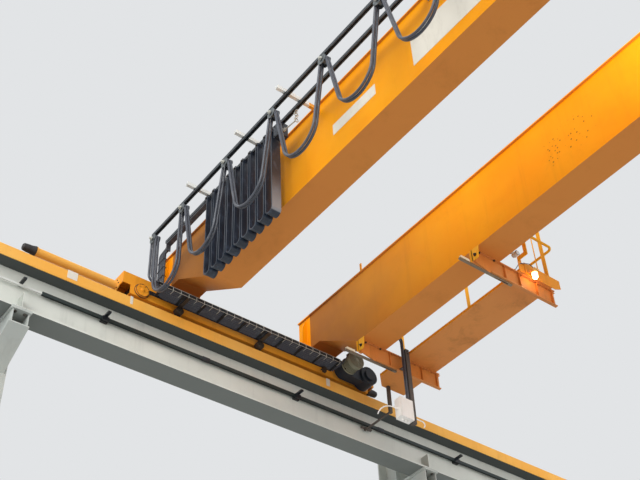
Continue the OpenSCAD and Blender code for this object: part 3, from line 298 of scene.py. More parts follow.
def rubber(name, base, pale, roughness=0.42, painted_sheen=None):
    """Cable sheath, moulded rubber or plastic, with scuffs and a thin layer of dust on top.

    The last argument is a painted sheen, a lighter colour on a flat cable's wide faces, with a painted
    highlight low on the pack's last loop.
    """
    f = Finish(name, roughness=roughness, specular=0.5)
    scuffs = f.noise(14.0, 5.0, 0.7, (1, 1, 0.5)).between(0.5, 0.72)
    colour = f.mix(scuffs * 0.6, linear(base), linear(pale))
    if painted_sheen:
        # Painted sheen on the wide faces, and a painted highlight low on the last loop.
        broad_face = abs(f.normal_along(0)).between(0.5, 0.95)
        colour = f.mix(broad_face * (scuffs * 0.4 + 0.1), colour, linear(painted_sheen))
        last_loop_highlight = (f.along(0) > LAST_LOOP_X) * (1 - f.along(2).between(9.7, 10.3))
        colour = f.mix(broad_face * last_loop_highlight * 0.8, colour, linear((150, 154, 160)))
    overlay = f.normal_along(2).between(0.2, 0.95) * f.noise(5.0, 4.0).between(0.3, 0.7) * 0.25
    colour = f.mix(overlay, colour, linear((135, 130, 118)))
    f.set("Base Color", colour)
    f.set("Roughness", (f.noise(20.0, 3.0) * 0.2 + roughness - 0.08 + overlay * 0.5).clamped())
    f.bump(f.noise(120.0, 2.0), 0.08, 0.0008)
    return f.material


def plate_paint(name, base, grime_and_shade, smeared=0.3):
    """Plain white sign plate or box plastic with grey smears, fingermarks, and dirt and painted shade along
    its edges.
    """
    f = Finish(name, roughness=0.38, coat=0.1)
    smears = f.noise(9.0, 6.0, 0.72, (1, 1, 0.35), 0.5).between(0.48, 0.78)
    # Painted shade: ambient occlusion darkens the corners, mixed with real dirt.
    corner_dirt_and_shade = f.corners(0.05).between(0.2, 0.9)
    colour = f.mix((smears * smeared + corner_dirt_and_shade * 0.5).clamped(), linear(base), linear(grime_and_shade))
    f.set("Base Color", colour)
    f.set("Roughness", f.noise(30.0, 2.0) * 0.2 + 0.3)
    f.bump(f.noise(90.0, 2.0), 0.06, 0.0006)
    return f.material


# Painted shade: the low colours darken undersides, browned darkens the girders' ends, and ledge darkens the
# runway under its top flange and on its near-end faces.
girder_paint = paint("girder_paint", (250, 156, 0), (253, 168, 10), (122, 70, 26), dirt=0.2, specular=0.12,
                     low=(214, 137, 74), girder_end_shade=(138, 88, 48), rust_spots=(-4.95, 10.5))
truck_paint = paint("truck_paint", (246, 158, 34), (252, 170, 50), (96, 66, 38), dirt=0.45, wear=0.45)
band_paint = paint("cap_channel_paint", (252, 180, 74), (254, 196, 100), (126, 90, 52), dirt=0.3, wear=0.2)
platform_paint = paint("platform_paint", (248, 154, 18), (252, 168, 36), (110, 66, 30), dirt=0.45, wear=0.3,
                       low=(214, 138, 77), tread=90.0)
# Painted shade: the cross members have the platform's orange made darker and browner, a shaded copy of it.
shaded_member_paint = paint("shaded_member_paint", (222, 138, 62), (234, 152, 78), (110, 66, 30), dirt=0.45, wear=0.3,
                     low=(214, 138, 77))
rail_paint = paint("handrail_paint", (250, 176, 20), (252, 190, 50), (120, 80, 32), dirt=0.4, wear=0.35)
runway_paint = paint("runway_paint", (218, 222, 215), (230, 233, 226), (104, 108, 102), roughness=0.6,
                     dirt=0.26, low=(86, 93, 91), ledge=(9.8, (66, 71, 71), (158, 162, 156)))
column_paint = paint("column_paint", (190, 196, 192), (202, 206, 200), (96, 98, 92), roughness=0.6, dirt=0.55,
                     splash=0.9)
mast_paint = paint("mast_paint", (84, 78, 74), (104, 98, 92), (42, 40, 38), roughness=0.55, dirt=0.5)
bracket_paint = paint("bracket_paint", (62, 52, 44), (84, 70, 56), (30, 28, 28), roughness=0.5, dirt=0.5)
gear_paint = paint("gearbox_paint", (30, 35, 44), (44, 51, 60), (20, 19, 19), roughness=0.45, dirt=0.5)
motor_paint = paint("motor_paint", (124, 126, 108), (146, 146, 126), (58, 54, 46), roughness=0.5, dirt=0.5)
hoist_paint = paint("hoist_paint", (64, 92, 122), (82, 110, 138), (46, 46, 44), roughness=0.45, dirt=0.4)
hook_paint = paint("hook_block_paint", (240, 172, 24), (248, 186, 48), (84, 60, 34), dirt=0.6, wear=0.6)
rail_steel = steel("rail_steel", (132, 124, 114), (84, 74, 64), metallic=0.7, stretch=(1, 0.1, 1), rust=0.7)
wheel_steel = steel("wheel_steel", (118, 114, 108), (62, 58, 54), metallic=0.8, rust=0.2)
tray_zinc = steel("tray_steel", (58, 63, 68), (32, 35, 39), roughness=0.5, metallic=0.5, rust=0.1)
cable_rail_zinc = steel("cable_rail_steel", (76, 83, 88), (46, 51, 56), roughness=0.45, metallic=0.35)
carrier_zinc = steel("carrier_steel", (122, 128, 130), (78, 83, 86), roughness=0.45, metallic=0.45)
bolt_zinc = steel("bolt_steel", (150, 148, 140), (96, 92, 86), metallic=0.75, scale=30.0, rust=0.2)
dark_bolt = steel("dark_bolt_steel", (88, 80, 70), (52, 46, 40), roughness=0.5, metallic=0.6, scale=30.0,
                  rust=0.3)
bright_zinc = steel("bright_zinc", (226, 226, 218), (176, 176, 168), metallic=0.25, scale=30.0)
rope_steel = steel("rope_steel", (96, 94, 90), (50, 48, 46), roughness=0.5, metallic=0.7, scale=60.0)
cable_black = rubber("cable_sheath", (72, 76, 86), (112, 114, 120), roughness=0.34)
flat_black = rubber("flat_cable_sheath", (38, 46, 58), (74, 85, 102), roughness=0.32, painted_sheen=(84, 97, 118))
bumper_rubber = rubber("bumper_rubber", (40, 38, 40), (68, 64, 62), roughness=0.6)
roller_black = rubber("roller_plastic", (20, 24, 30), (46, 52, 60), roughness=0.3)
plate_white = plate_paint("plate_white", (232, 226, 212), (170, 160, 144))
box_white = plate_paint("box_plastic", (254, 251, 246), (190, 184, 172), 0.15)
lamp_glass = plate_paint("lamp_glass", (226, 230, 234), (150, 156, 164), 0.5)


def conductor_finish():
    """Dark plastic cover; the run before the bar's first joint is white."""
    f = Finish("conductor_cover", roughness=0.42)
    first_joint_y = -2.772
    white = f.along(1) < first_joint_y
    scuffs = f.noise(6.0, 5.0, 0.7, (1, 0.2, 1)).between(0.5, 0.8)
    dark = f.mix(scuffs * 0.5, linear((33, 45, 45)), linear((70, 80, 78)))
    pale = f.mix(scuffs * 0.4, linear((228, 230, 226)), linear((160, 158, 150)))
    f.set("Base Color", f.mix(white, dark, pale))
    f.set("Roughness", f.noise(12.0, 3.0) * 0.2 + 0.34)
    f.bump(f.noise(80.0, 2.0), 0.05, 0.001)
    return f.material


def beacon_finish():
    """Ribbed amber lens, lit from inside, brighter low down on the dome."""
    f = Finish("beacon_lens", roughness=0.18, coat=0.4)
    ribs = f.node("ShaderNodeTexWave", {"bands_direction": "Z"}, f.place, 60.0)
    colour = f.mix(ribs.between(0.2, 0.9), linear((255, 190, 96)), linear((255, 214, 140)))
    f.set("Base Color", colour)
    glow = 1 - f.along(2).between(9.93, 10.03)
    lens_top = 10.02
    lens = f.along(2) < lens_top
    lit = f.mix(glow, linear((235, 120, 30)), linear((255, 236, 190)))
    f.set("Emission Color", f.mix(lens, linear((0, 0, 0)), lit))
    f.set("Emission Strength", 18.0)
    f.bump(ribs, 0.3, 0.002)
    return f.material


def lamp_finish():
    """Cast lamp housing, pale, with dirt and painted shade in the corners at its rim."""
    f = Finish("lamp_housing", roughness=0.4)
    rings = f.noise(18.0, 4.0).between(0.4, 0.7)
    colour = f.mix(rings * 0.4, linear((214, 208, 196)), linear((120, 112, 100)))
    # Painted shade: ambient occlusion darkens the corners at the rim, with dirt.
    f.set("Base Color", f.mix(f.corners(0.03).between(0.2, 0.8) * 0.6, colour, linear((70, 62, 54))))
    f.set("Roughness", f.noise(20.0, 2.0) * 0.2 + 0.3)
    f.bump(f.noise(60.0, 2.0), 0.08, 0.0008)
    return f.material


def arm_finish():
    """Bright galvanised arms, dusted, with painted shade in corners and the girder's paint on inner ends and
    foot plates.
    """
    f = Finish("festoon_arm_steel", roughness=0.45)
    spangle = f.node("ShaderNodeSeparateColor", {}, f.cells(40.0, output="Color"))
    bright = f.mix(spangle * 0.6 + f.noise(12.0, 4.0) * 0.4, linear((232, 233, 228)), linear((252, 252, 248)))
    painted = f.mix(f.noise(8.0, 4.0), linear((236, 156, 30)), linear((252, 186, 60)))
    paint_ends_y = -1.27
    edge = f.along(1) + f.noise(14.0, 3.0) * 0.04
    colour = f.mix(edge > paint_ends_y, bright, painted)
    # Painted shade in the corners from ambient occlusion, mixed with patches of real dirt.
    grime_and_shade = f.corners(0.05).between(0.25, 0.9) * 0.6 + f.noise(5.0, 5.0, 0.7).between(0.56, 0.8) * 0.4
    f.set("Base Color", f.mix(grime_and_shade.clamped(), colour, linear((82, 74, 64))))
    f.set("Roughness", f.noise(22.0, 3.0) * 0.25 + 0.32)
    f.bump(f.noise(90.0, 2.0), 0.08, 0.0008)
    return f.material


def guide_finish():
    """Dark bronze bars; the stop blocks that stand on them are pale."""
    f = Finish("guide_bar_steel", roughness=0.5, metallic=0.3)
    bar_top = 9.7705
    pale_block = f.along(2) > bar_top
    streaks = f.noise(9.0, 5.0, 0.7, (1, 0.15, 1)).between(0.4, 0.75)
    dark = f.mix(streaks, linear((126, 112, 94)), linear((156, 140, 116)))
    pale = f.mix(streaks * 0.4, linear((240, 232, 206)), linear((196, 168, 110)))
    f.set("Base Color", f.mix(pale_block, dark, pale))
    f.set("Metallic", 0.4 - pale_block * 0.4)
    f.set("Roughness", f.noise(18.0, 3.0) * 0.25 + 0.38)
    f.bump(f.noise(70.0, 3.0), 0.1, 0.001)
    return f.material


conductor_cover = conductor_finish()
arm_steel = arm_finish()
guide_steel = guide_finish()
beacon_lens = beacon_finish()
lamp_housing = lamp_finish()

node_finishes = {
    "columns": column_paint, "runway_beams": runway_paint, "cap_channels": band_paint,
    "runway_rails": rail_steel, "end_stops": hook_paint,
    "conductor_bar": conductor_cover, "conductor_hangers": roller_black,
    "girder_a": girder_paint, "girder_b": girder_paint, "trolley_rails": rail_steel,
    "end_truck_left": truck_paint, "end_truck_right": truck_paint, "wheel_axles": truck_paint,
    "wheel_left_a": wheel_steel, "wheel_left_b": wheel_steel, "wheel_right_a": wheel_steel,
    "wheel_right_b": wheel_steel, "buffer_tubes": band_paint, "buffers": bumper_rubber,
    "drive_gearboxes": gear_paint, "drive_motors": motor_paint, "cable_tray": tray_zinc,
    "tray_brackets": bracket_paint, "tray_cables": cable_black, "festoon_arms": arm_steel,
    "festoon_rails": cable_rail_zinc, "festoon_carriers": carrier_zinc, "festoon_loops": cable_black,
    "cable_bundle": flat_black, "runway_marks": plate_white, "cross_members": shaded_member_paint,
    "platform": platform_paint, "handrail": rail_paint, "beacon": beacon_lens, "lamp": lamp_housing,
    "junction_box": box_white, "box_mast": mast_paint, "guide_bars": guide_steel,
    "girder_plates": plate_white,
    "crab_frame": truck_paint, "crab_wheels": wheel_steel, "hoist_drum": wheel_steel,
    "hoist_motor": hoist_paint, "hoist_ropes": rope_steel, "hook_block": hook_paint,
}
for name, material in node_finishes.items():
    slots = nodes[name].data.materials
    if not slots:
        slots.append(material)
    for index in range(len(slots)):
        slots[index] = material


# Pieces built in mesh code. Places are in millimetres, as in the part's drawing, and turn into metres here.

MM = 0.001
X_AXIS = Vector((1, 0, 0))
Y_AXIS = Vector((0, 1, 0))
Z_AXIS = Vector((0, 0, 1))
chance = random.Random(7)


def sides_of(along):
    """Two directions square to along."""
    other = X_AXIS if abs(along.z) > 0.9 else Z_AXIS
    across = along.cross(other).normalized()
    return across, across.cross(along).normalized()


def edges_at(verts):
    """The edges that meet these corners, each once and in a fixed order."""
    return list(dict.fromkeys(edge for vert in verts for edge in vert.link_edges))


def spokes(count, start=0, across=Y_AXIS, up=Z_AXIS):
    """Directions spread evenly round a circle, from start degrees on."""
    angles = [math.radians(start + 360 / count * k) for k in range(count)]
    return [across * math.cos(a) + up * math.sin(a) for a in angles]


class Piece:
    """Small shapes gathered in one mesh, which rides on a body."""

    def __init__(self, name, body, slot, material):
        self.name = name
        self.body = body
        self.slot = slot
        self.material = material
        self.mesh = bmesh.new()

    def ring(self, centre, along, radius, sides, turn=0.0):
        across, up = sides_of(along)
        made = []
        for i in range(sides):
            angle = turn + math.tau * i / sides
            spot = centre + (across * math.cos(angle) + up * math.sin(angle)) * radius
            made.append(self.mesh.verts.new(spot * MM))
        return made

    def skin(self, rings, closed=False):
        """Faces from ring to ring; the ends get caps unless the rings close on themselves."""
        pairs = list(zip(rings, rings[1:])) + ([(rings[-1], rings[0])] if closed else [])
        for a, b in pairs:
            for i in range(len(a)):
                j = (i + 1) % len(a)
                self.mesh.faces.new((a[i], a[j], b[j], b[i]))
        if not closed:
            self.mesh.faces.new(list(reversed(rings[0])))
            self.mesh.faces.new(rings[-1])

    def turned(self, foot, along, profile, sides=16, turn=0.0):
        """A turned shape, its profile as (distance along, radius)."""
        foot = Vector(foot)
        self.skin([self.ring(foot + along * d, along, r, sides, turn) for d, r in profile])

    def bolt(self, foot, along, size, stud=0.0):
        """A washer and a bevelled hexagon head, with the thread's end where a stud stands out of a nut."""
        turn = chance.uniform(0, math.pi / 3)
        washer = [(-0.5, 1.08 * size), (0.16 * size, 1.08 * size)]
        head = [(0.1 * size, 0.9 * size), (0.7 * size, 0.9 * size), (0.8 * size, 0.76 * size)]
        self.turned(foot, along, washer, 14)
        self.turned(foot, along, head, 6, turn)
        if stud:
            thread = [(0.7 * size, 0.5 * size), (0.8 * size + stud, 0.5 * size),
                      (0.86 * size + stud, 0.4 * size)]
            self.turned(foot, along, thread, 10)

    def block(self, centre, size, bevel=2.0):
        """A block with bevelled edges."""
        place = Matrix.Translation(Vector(centre) * MM)
        scale = Matrix.Diagonal((*[s * MM for s in size], 1.0))
        made = bmesh.ops.create_cube(self.mesh, size=1.0, matrix=place @ scale)
        bmesh.ops.bevel(self.mesh, geom=edges_at(made["verts"]), offset=bevel * MM, segments=2,
                        affect="EDGES", profile=0.6)

    def tube(self, points, radius, sides=8, closed=False, rough=0.0):
        """A round bar, cable or weld bead through points; rough makes its radius uneven."""
        points = [Vector(p) for p in points]
        count = len(points)
        up = None
        rings = []
        for i, spot in enumerate(points):
            before = points[i - 1] if i or closed else spot
            after = points[(i + 1) % count] if i < count - 1 or closed else spot
            along = (after - before).normalized()
            up = sides_of(along)[1] if up is None else (up - along * up.dot(along)).normalized()
            across = up.cross(along)
            r = radius * (1 + rough * chance.uniform(-1, 1))
            rings.append([self.mesh.verts.new((spot + (across * math.cos(a) + up * math.sin(a)) * r) * MM)
                          for a in (math.tau * k / sides for k in range(sides))])
        self.skin(rings, closed)

    def hoop(self, centre, along, radius, thickness, count=28):
        """A closed ring of round bar."""
        across, up = sides_of(along)
        centre = Vector(centre)
        self.tube([centre + (across * math.cos(a) + up * math.sin(a)) * radius
                   for a in (math.tau * k / count for k in range(count))], thickness, 8, closed=True)

    def plate(self, outline, along, thickness, bevel=1.0):
        """A flat plate with that outline, as thick as stated along one direction."""
        base = [self.mesh.verts.new(Vector(p) * MM) for p in outline]
        face = self.mesh.faces.new(base)
        raised = bmesh.ops.extrude_face_region(self.mesh, geom=[face])["geom"]
        verts = [item for item in raised if isinstance(item, bmesh.types.BMVert)]
        bmesh.ops.translate(self.mesh, verts=verts, vec=along * thickness * MM)
        bmesh.ops.bevel(self.mesh, geom=edges_at(base + verts), offset=bevel * MM, segments=1,
                        affect="EDGES")

    def place(self):
        """Turns the gathered shapes into an object of the crane."""
        bmesh.ops.recalc_face_normals(self.mesh, faces=self.mesh.faces[:])
        made = bpy.data.meshes.new(self.name)
        self.mesh.to_mesh(made)
        self.mesh.free()
        made.polygons.foreach_set("use_smooth", [True] * len(made.polygons))
        made.set_sharp_from_angle(angle=math.radians(38))
        made.materials.append(self.material)
        placed = bpy.data.objects.new(self.name, made)
        bpy.context.scene.collection.objects.link(placed)
        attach(placed, self.body)
        return placed


def spread(low, high, step):
    """Places from low to high, about one step apart, both ends included."""
    count = max(1, round((high - low) / step))
    return [low + (high - low) * i / count for i in range(count + 1)]


def arc(centre, across, up, radius, start, end, count=10):
    """Points on an arc; across and up are directions, start and end degrees."""
    return [Vector(centre) + (across * math.cos(a) + up * math.sin(a)) * radius
            for a in (math.radians(start + (end - start) * k / count) for k in range(count + 1))]


# Driving sizes, as in the part's drawing

ENDS = (-1, 1)
SPAN = 19500
BRIDGE_Y = 130
GAUGE = 2200
WHEELBASE = 3400
RUNWAY_Z = 9300
RAIL_TOP = 10110
GIRDER_UNDER = 10010
GIRDER_TOP = 11070


# Main places, worked out from them where they depend on them

RAIL_X = SPAN / 2
GIRDERS_Y = (BRIDGE_Y - GAUGE / 2, BRIDGE_Y + GAUGE / 2)
AXLES_Y = (BRIDGE_Y - WHEELBASE / 2, BRIDGE_Y + WHEELBASE / 2)
AXLE_Z = RAIL_TOP + 125.3
COLUMNS_Y = (-8850, -3000, 3000, 8850)
CAP_TOP = RAIL_TOP - 60
CONDUCTOR_Z = 9694
BUFFER_Z = RAIL_TOP + 189
BUFFER_FLANGE_Y = -1849
TUBE_FLANGE_Y = 2103
SEAT_TOP = GIRDER_TOP - 570
BEAD_IN = 17
BEAD_OFF = 191
HAUNCH_START = RAIL_X - 1120
HAUNCH_RUN = 790
GEAR_SMALL_Y = AXLES_Y[1] - 360
CABLE_LOW_Z = 10206.5
DROP_Y = -1400
ARM_Z = GIRDER_TOP - 90
SADDLE_Z = 10854
MEMBER_Y = 1010
MEMBER_FLANGE_Z = GIRDER_UNDER - 12
BOX_X = -8470
BOX_Z = 9070
MAST_X = -8440
MAST_Y = 1669
BEACON_PLACE = (-6424, 1924)
LAMP_PLACE = (-6370, 1610, 10140)
CRAB_X = 1600
CRAB_Y = BRIDGE_Y
CRAB_AXLE_Z = GIRDER_TOP + 165.3
DRUM_Z = CRAB_AXLE_Z + 450
DRUM_R = 210
HOIST_MOTOR_Z = DRUM_Z + 60
HOOK_SHEAVE_Z = 9590


# Runway: rail clips, bracket bolts, conductor joints, stop bolts

clips = Piece("rail_clips", "runway", "galvanised", bolt_zinc)
for s in ENDS:
    for y in spread(-8400, 8400, 600):
        for e in ENDS:
            x = s * RAIL_X + e * 60
            clips.block((x, y, CAP_TOP + 6), (58, 64, 12), 3)
            clips.bolt((x + e * 6, y, CAP_TOP + 12), Z_AXIS, 14)
clips.place()

beam_bolts = Piece("bracket_bolts", "runway", "galvanised", bolt_zinc)
for s in ENDS:
    for y in COLUMNS_Y:
        for dx in (-115, 115):
            for dy in (-58, 58):
                beam_bolts.bolt((s * RAIL_X + dx, y + dy, RUNWAY_Z + 25), Z_AXIS, 20, stud=8)
                beam_bolts.bolt((s * RAIL_X + dx, y + dy, RUNWAY_Z - 35), -Z_AXIS, 20)
        for dy in (-35, 35):
            beam_bolts.bolt((s * (RAIL_X + 240), y + dy, 9936), Z_AXIS, 16, stud=6)
            beam_bolts.bolt((s * (RAIL_X + 240), y + dy, 9920), -Z_AXIS, 16)
beam_bolts.place()

joints = Piece("conductor_joints", "runway", "black_plastic", roller_black)
for y in (-560, 2240, 5040, 7840):
    joints.block((-9698.5, y, CONDUCTOR_Z), (40, 110, 52), 5)
    for dy in (-38, 38):
        joints.bolt((-9678.5, y + dy, CONDUCTOR_Z), X_AXIS, 5)
for y in (-1960, 840, 3640, 6440):
    for dy in (-32, 32):
        joints.bolt((-9669.5, y + dy, CONDUCTOR_Z), X_AXIS, 6)
    joints.bolt((-9600, y, 9715), -Z_AXIS, 9)
joints.place()

stops = Piece("end_stop_bolts", "runway", "galvanised", bolt_zinc)
for s in ENDS:
    for e in ENDS:
        for dx in (-128, 128):
            stops.bolt((s * RAIL_X + dx, e * 8600, 10360), -e * Y_AXIS, 14)
            stops.bolt((s * RAIL_X + dx, e * 8600, 10160), -e * Y_AXIS, 14)
stops.place()


# End trucks: cap bolts, seat bolts, buffer flanges

caps = Piece("axle_cap_bolts", "bridge", "orange_paint", truck_paint)
cap_shadow_rings = Piece("axle_cap_shadow_rings", "bridge", "galvanised", dark_bolt)
for s in ENDS:
    for y in AXLES_Y:
        for m in ENDS:
            if y > 0 and m == -s:
                continue
            face = Vector((s * RAIL_X + m * 176, y, AXLE_Z))
            for way in spokes(6, 15):
                caps.bolt(face + way * 74, m * X_AXIS, 13)
            caps.turned(face, m * X_AXIS, [(-0.5, 26), (5, 26), (8, 22), (8, 8), (16, 6), (18, 3)], 20)
            # Dark rings for the gap round each axle cap and a painted shadow in it.
            cap_shadow_rings.hoop(face - m * X_AXIS * 24, X_AXIS, 97, 6, 40)
            cap_shadow_rings.hoop(face - m * X_AXIS * 2, X_AXIS, 90, 5, 40)
caps.place()
cap_shadow_rings.place()

seats = Piece("girder_seat_bolts", "bridge", "galvanised", dark_bolt)
for s in ENDS:
    for y in GIRDERS_Y:
        for dy in (-236, 236):
            for dx in (-115, -40, 40, 115):
                if s * dx < 100:
                    seats.bolt((s * RAIL_X + dx, y + dy, SEAT_TOP), Z_AXIS, 18, stud=6)
seats.place()

flanges = Piece("buffer_flange_bolts", "bridge", "galvanised", dark_bolt)
for s in ENDS:
    for way in spokes(6, 0, X_AXIS):
        flanges.bolt(Vector((s * RAIL_X, BUFFER_FLANGE_Y, BUFFER_Z)) + way * 67, -Y_AXIS, 9)
        flanges.bolt(Vector((s * RAIL_X, TUBE_FLANGE_Y, BUFFER_Z)) + way * 56, Y_AXIS, 7)
flanges.place()


# Girders: weld beads along the plates, clips of the crab's rails

def haunched(x_side, z_low, z_high, y):
    """A line along a girder's underside: level, up the haunch, level over the truck."""
    steps = 12
    flat = [(x * x_side, y, z_low) for x in spread(0, HAUNCH_START, 60)]
    slope = [(x_side * (HAUNCH_START + HAUNCH_RUN * k / steps), y, z_low + (z_high - z_low) * k / steps)
             for k in range(1, steps + 1)]
    return flat + slope + [(x_side * x, y, z_high) for x in spread(9480, 9570, 60)]


for name, middle in (("girder_a_welds", GIRDERS_Y[0]), ("girder_b_welds", GIRDERS_Y[1])):
    welds = Piece(name, "bridge", "orange_paint", girder_paint)
    for side in ENDS:
        web_y = middle + side * BEAD_OFF
        for half in ENDS:
            under = haunched(half, GIRDER_UNDER + BEAD_IN, SEAT_TOP + BEAD_IN, web_y)
            welds.tube(under, 5, 6, rough=0.18)
        welds.tube([(x, web_y, GIRDER_TOP - BEAD_IN) for x in spread(-9860, 9860, 60)], 5, 6, rough=0.18)
        for s in ENDS:
            welds.tube([(s * 9688, web_y, z) for z in spread(10516, 11050, 40)], 5, 6, rough=0.2)
    welds.place()

crab_clips = Piece("crab_rail_clips", "bridge", "galvanised", bolt_zinc)
for y in GIRDERS_Y:
    for x in spread(-8500, 8500, 500):
        for e in ENDS:
            crab_clips.block((x, y + e * 44, GIRDER_TOP + 5), (50, 38, 10), 2.5)
            crab_clips.bolt((x, y + e * 50, GIRDER_TOP + 10), Z_AXIS, 10)
crab_clips.place()


# Cable tray: pale wires over its inner side, motor cables that fill it, clamps

tray_wires = Piece("tray_wires", "bridge", "galvanised", bright_zinc)
for y in spread(-1400, 1285, 112):
    tray_wires.tube([(-9396, y, 10187), (-9330, y, 10187), (-9326.5, y, 10190), (-9326.5, y, 10248)], 3.2, 6)
for z in (10196, 10246):
    tray_wires.tube([(-9324, y, z) for y in spread(-1480, 1295, 200)], 2.6, 6)
tray_wires.place()

motor_cables = Piece("motor_cables", "bridge", "cable_black", cable_black)
for k in range(5):
    x = -9536 + 21 * k
    sway = [chance.uniform(-2, 2) for _ in range(12)]
    low = [Vector((x + sway[i % 12], y, CABLE_LOW_Z))
           for i, y in enumerate(reversed(spread(-1300, 1330, 220)))]
    bend = arc((x, -1300, CABLE_LOW_Z + 100), -Y_AXIS, -Z_AXIS, 100, 90, 0, 8)[1:]
    rise = [Vector((x, DROP_Y, z)) for z in spread(10400, 10760, 120)]
    over = arc((x + 60, DROP_Y, 10790 + 4 * k), -X_AXIS, Z_AXIS, 60, 0, 90, 8)
    motor_cables.tube(low + bend + rise + over + [Vector((-9330, DROP_Y, 10850 + 4 * k))], 9, 8)
motor_cables.tube([(-9440, 1330, 10215), (-9360, 1345, 10225), (-9300, 1370, 10270), (-9294, 1395, 10330),
                   (-9294, 1412, 10345)], 9, 8)
motor_cables.tube([(-9460, 1330, 10215), (-9400, 1360, 10215), (-9380, 1400, 10250), (-9400, 1600, 10372),
                   (-9420, 1760, 10366)], 8, 8)
motor_cables.place()

ties = Piece("cable_ties", "bridge", "black_plastic", roller_black)
for y in spread(-1200, 1200, 300):
    ties.tube([(-9548, y, 10217), (-9544, y, 10218), (-9340, y, 10239), (-9334, y, 10230), (-9334, y, 10200)],
              3, 6)
for z in (10420, 10560, 10700):
    ties.tube([(-9546, -1388, z), (-9380, -1380, z), (-9380, -1418, z), (-9546, -1412, z)], 4, 6, closed=True)
ties.place()

disc_nuts = Piece("tray_bracket_nuts", "bridge", "galvanised", dark_bolt)
for y in (-1060, 150):
    disc_nuts.turned((-9530, y, 10130), X_AXIS, [(-1, 50), (4, 50), (8, 44), (8, 30)], 28)
    disc_nuts.bolt((-9522, y, 10130), X_AXIS, 16, stud=6)
    for dx in (20, 190):
        disc_nuts.bolt((-9550 + dx, y, 10180), -Z_AXIS, 8)
disc_nuts.place()


# Travel drives

housing_bolts = Piece("drive_bolts", "bridge", "galvanised", dark_bolt)
cowl_bars = Piece("motor_cowl_bars", "bridge", "motor_grey", motor_paint)
for s in ENDS:
    inwards = -s * X_AXIS
    outer_face = s * RAIL_X - s * 376
    for way in spokes(10):
        if way.y > -0.6:
            housing_bolts.bolt(Vector((outer_face, AXLES_Y[1], AXLE_Z)) + way * 118, inwards, 10)
    for way in spokes(4, 45):
        housing_bolts.bolt(Vector((outer_face - s * 18, GEAR_SMALL_Y, AXLE_Z)) + way * 108, inwards, 10)
    end = Vector((outer_face - s * 180, GEAR_SMALL_Y, AXLE_Z))
    cowl_bars.turned(end, inwards, [(-1, 30), (5, 30), (8, 24)], 24)
    for r in (48, 66, 84, 102):
        cowl_bars.hoop(end + inwards * 2, X_AXIS, r, 3.2, 36)
    for way in spokes(8):
        cowl_bars.tube([end + way * 24 + inwards * 3, end + way * 116 + inwards * 3], 3, 6)
    cowl_bars.hoop(end - inwards * 8, X_AXIS, 119, 4, 48)
    lid = Vector((outer_face - s * 80, GEAR_SMALL_Y, 10376))
    cowl_bars.block(lid, (86, 126, 8), 2.5)
    for dx in (-34, 34):
        for dy in (-52, 52):
            housing_bolts.bolt(lid + Vector((dx, dy, 4)), Z_AXIS, 6)
    cable_gland = [(-1, 13), (10, 13), (12, 11), (24, 11)]
    housing_bolts.turned((outer_face - s * 80, 1410, 10345), -Y_AXIS, cable_gland, 12)
housing_bolts.place()
cowl_bars.place()


# Festoons: foot bolts, axle nuts, anchor chain, plug

ARMS_X = (-8394, -7378, -6573, -4673, -2773, -873, 1027, 2927, 4827, 6727, 8334)
STOPS_X = (-9316, -8650, -7730, -6810, -5890, -4970, -4050, -3130, -2210, -1290, -370, 550)
arm_bolts = Piece("festoon_arm_bolts", "bridge", "galvanised", bolt_zinc)
for x in ARMS_X:
    for dx in (-29, 29):
        for z in (10936, 11036):
            arm_bolts.bolt((x + dx, -1168, z), -Y_AXIS, 10)
    for y in (-1600, -1400):
        for dx in (-13, 13):
            arm_bolts.bolt((x + dx, y, ARM_Z + 5), Z_AXIS, 7)
        arm_bolts.block((x, y, ARM_Z + 2), (30, 56, 5), 1)
arm_bolts.place()

axle_nuts = Piece("carrier_nuts", "bridge", "galvanised", bright_zinc)
for x in STOPS_X:
    axle_nuts.bolt((x, -1653, SADDLE_Z), -Y_AXIS, 24, stud=8)
    axle_nuts.bolt((x, -1561, SADDLE_Z), Y_AXIS, 18)
    for dz in (40, 66):
        axle_nuts.bolt((x, -1602, SADDLE_Z + dz), -Y_AXIS, 7)
axle_nuts.place()

chain = Piece("anchor_chain", "bridge", "galvanised", bright_zinc)
for k, z in enumerate((10900, 10852, 10804, 10756)):
    chain.hoop((-6660, DROP_Y, z), X_AXIS if k % 2 else Y_AXIS, 26, 5.5)
chain.tube([(-6895, DROP_Y, 10800), (-6860, DROP_Y, 10792), (-6720, DROP_Y, 10768),
            (-6672, DROP_Y, 10760)], 8)
chain.turned((-6895, DROP_Y, 10800), X_AXIS, [(-1, 22), (16, 22), (18, 16), (34, 16)], 16)
chain.place()

bundle_clamps = Piece("bundle_clamps", "bridge", "galvanised", dark_bolt)
for k in range(10):
    x = -8385 + 150 * k
    bundle_clamps.bolt((x, -1457, 10908), -Y_AXIS, 14, stud=4)
    bundle_clamps.bolt((x - 18, -1435, 10890), -Y_AXIS, 6)
    bundle_clamps.bolt((x + 18, -1435, 10890), -Y_AXIS, 6)
for x in (-6985, -6915):
    for z in (10750, 10905):
        bundle_clamps.bolt((x, -1460, z), -Y_AXIS, 9)
bundle_clamps.place()


# Cross members, platform and handrail

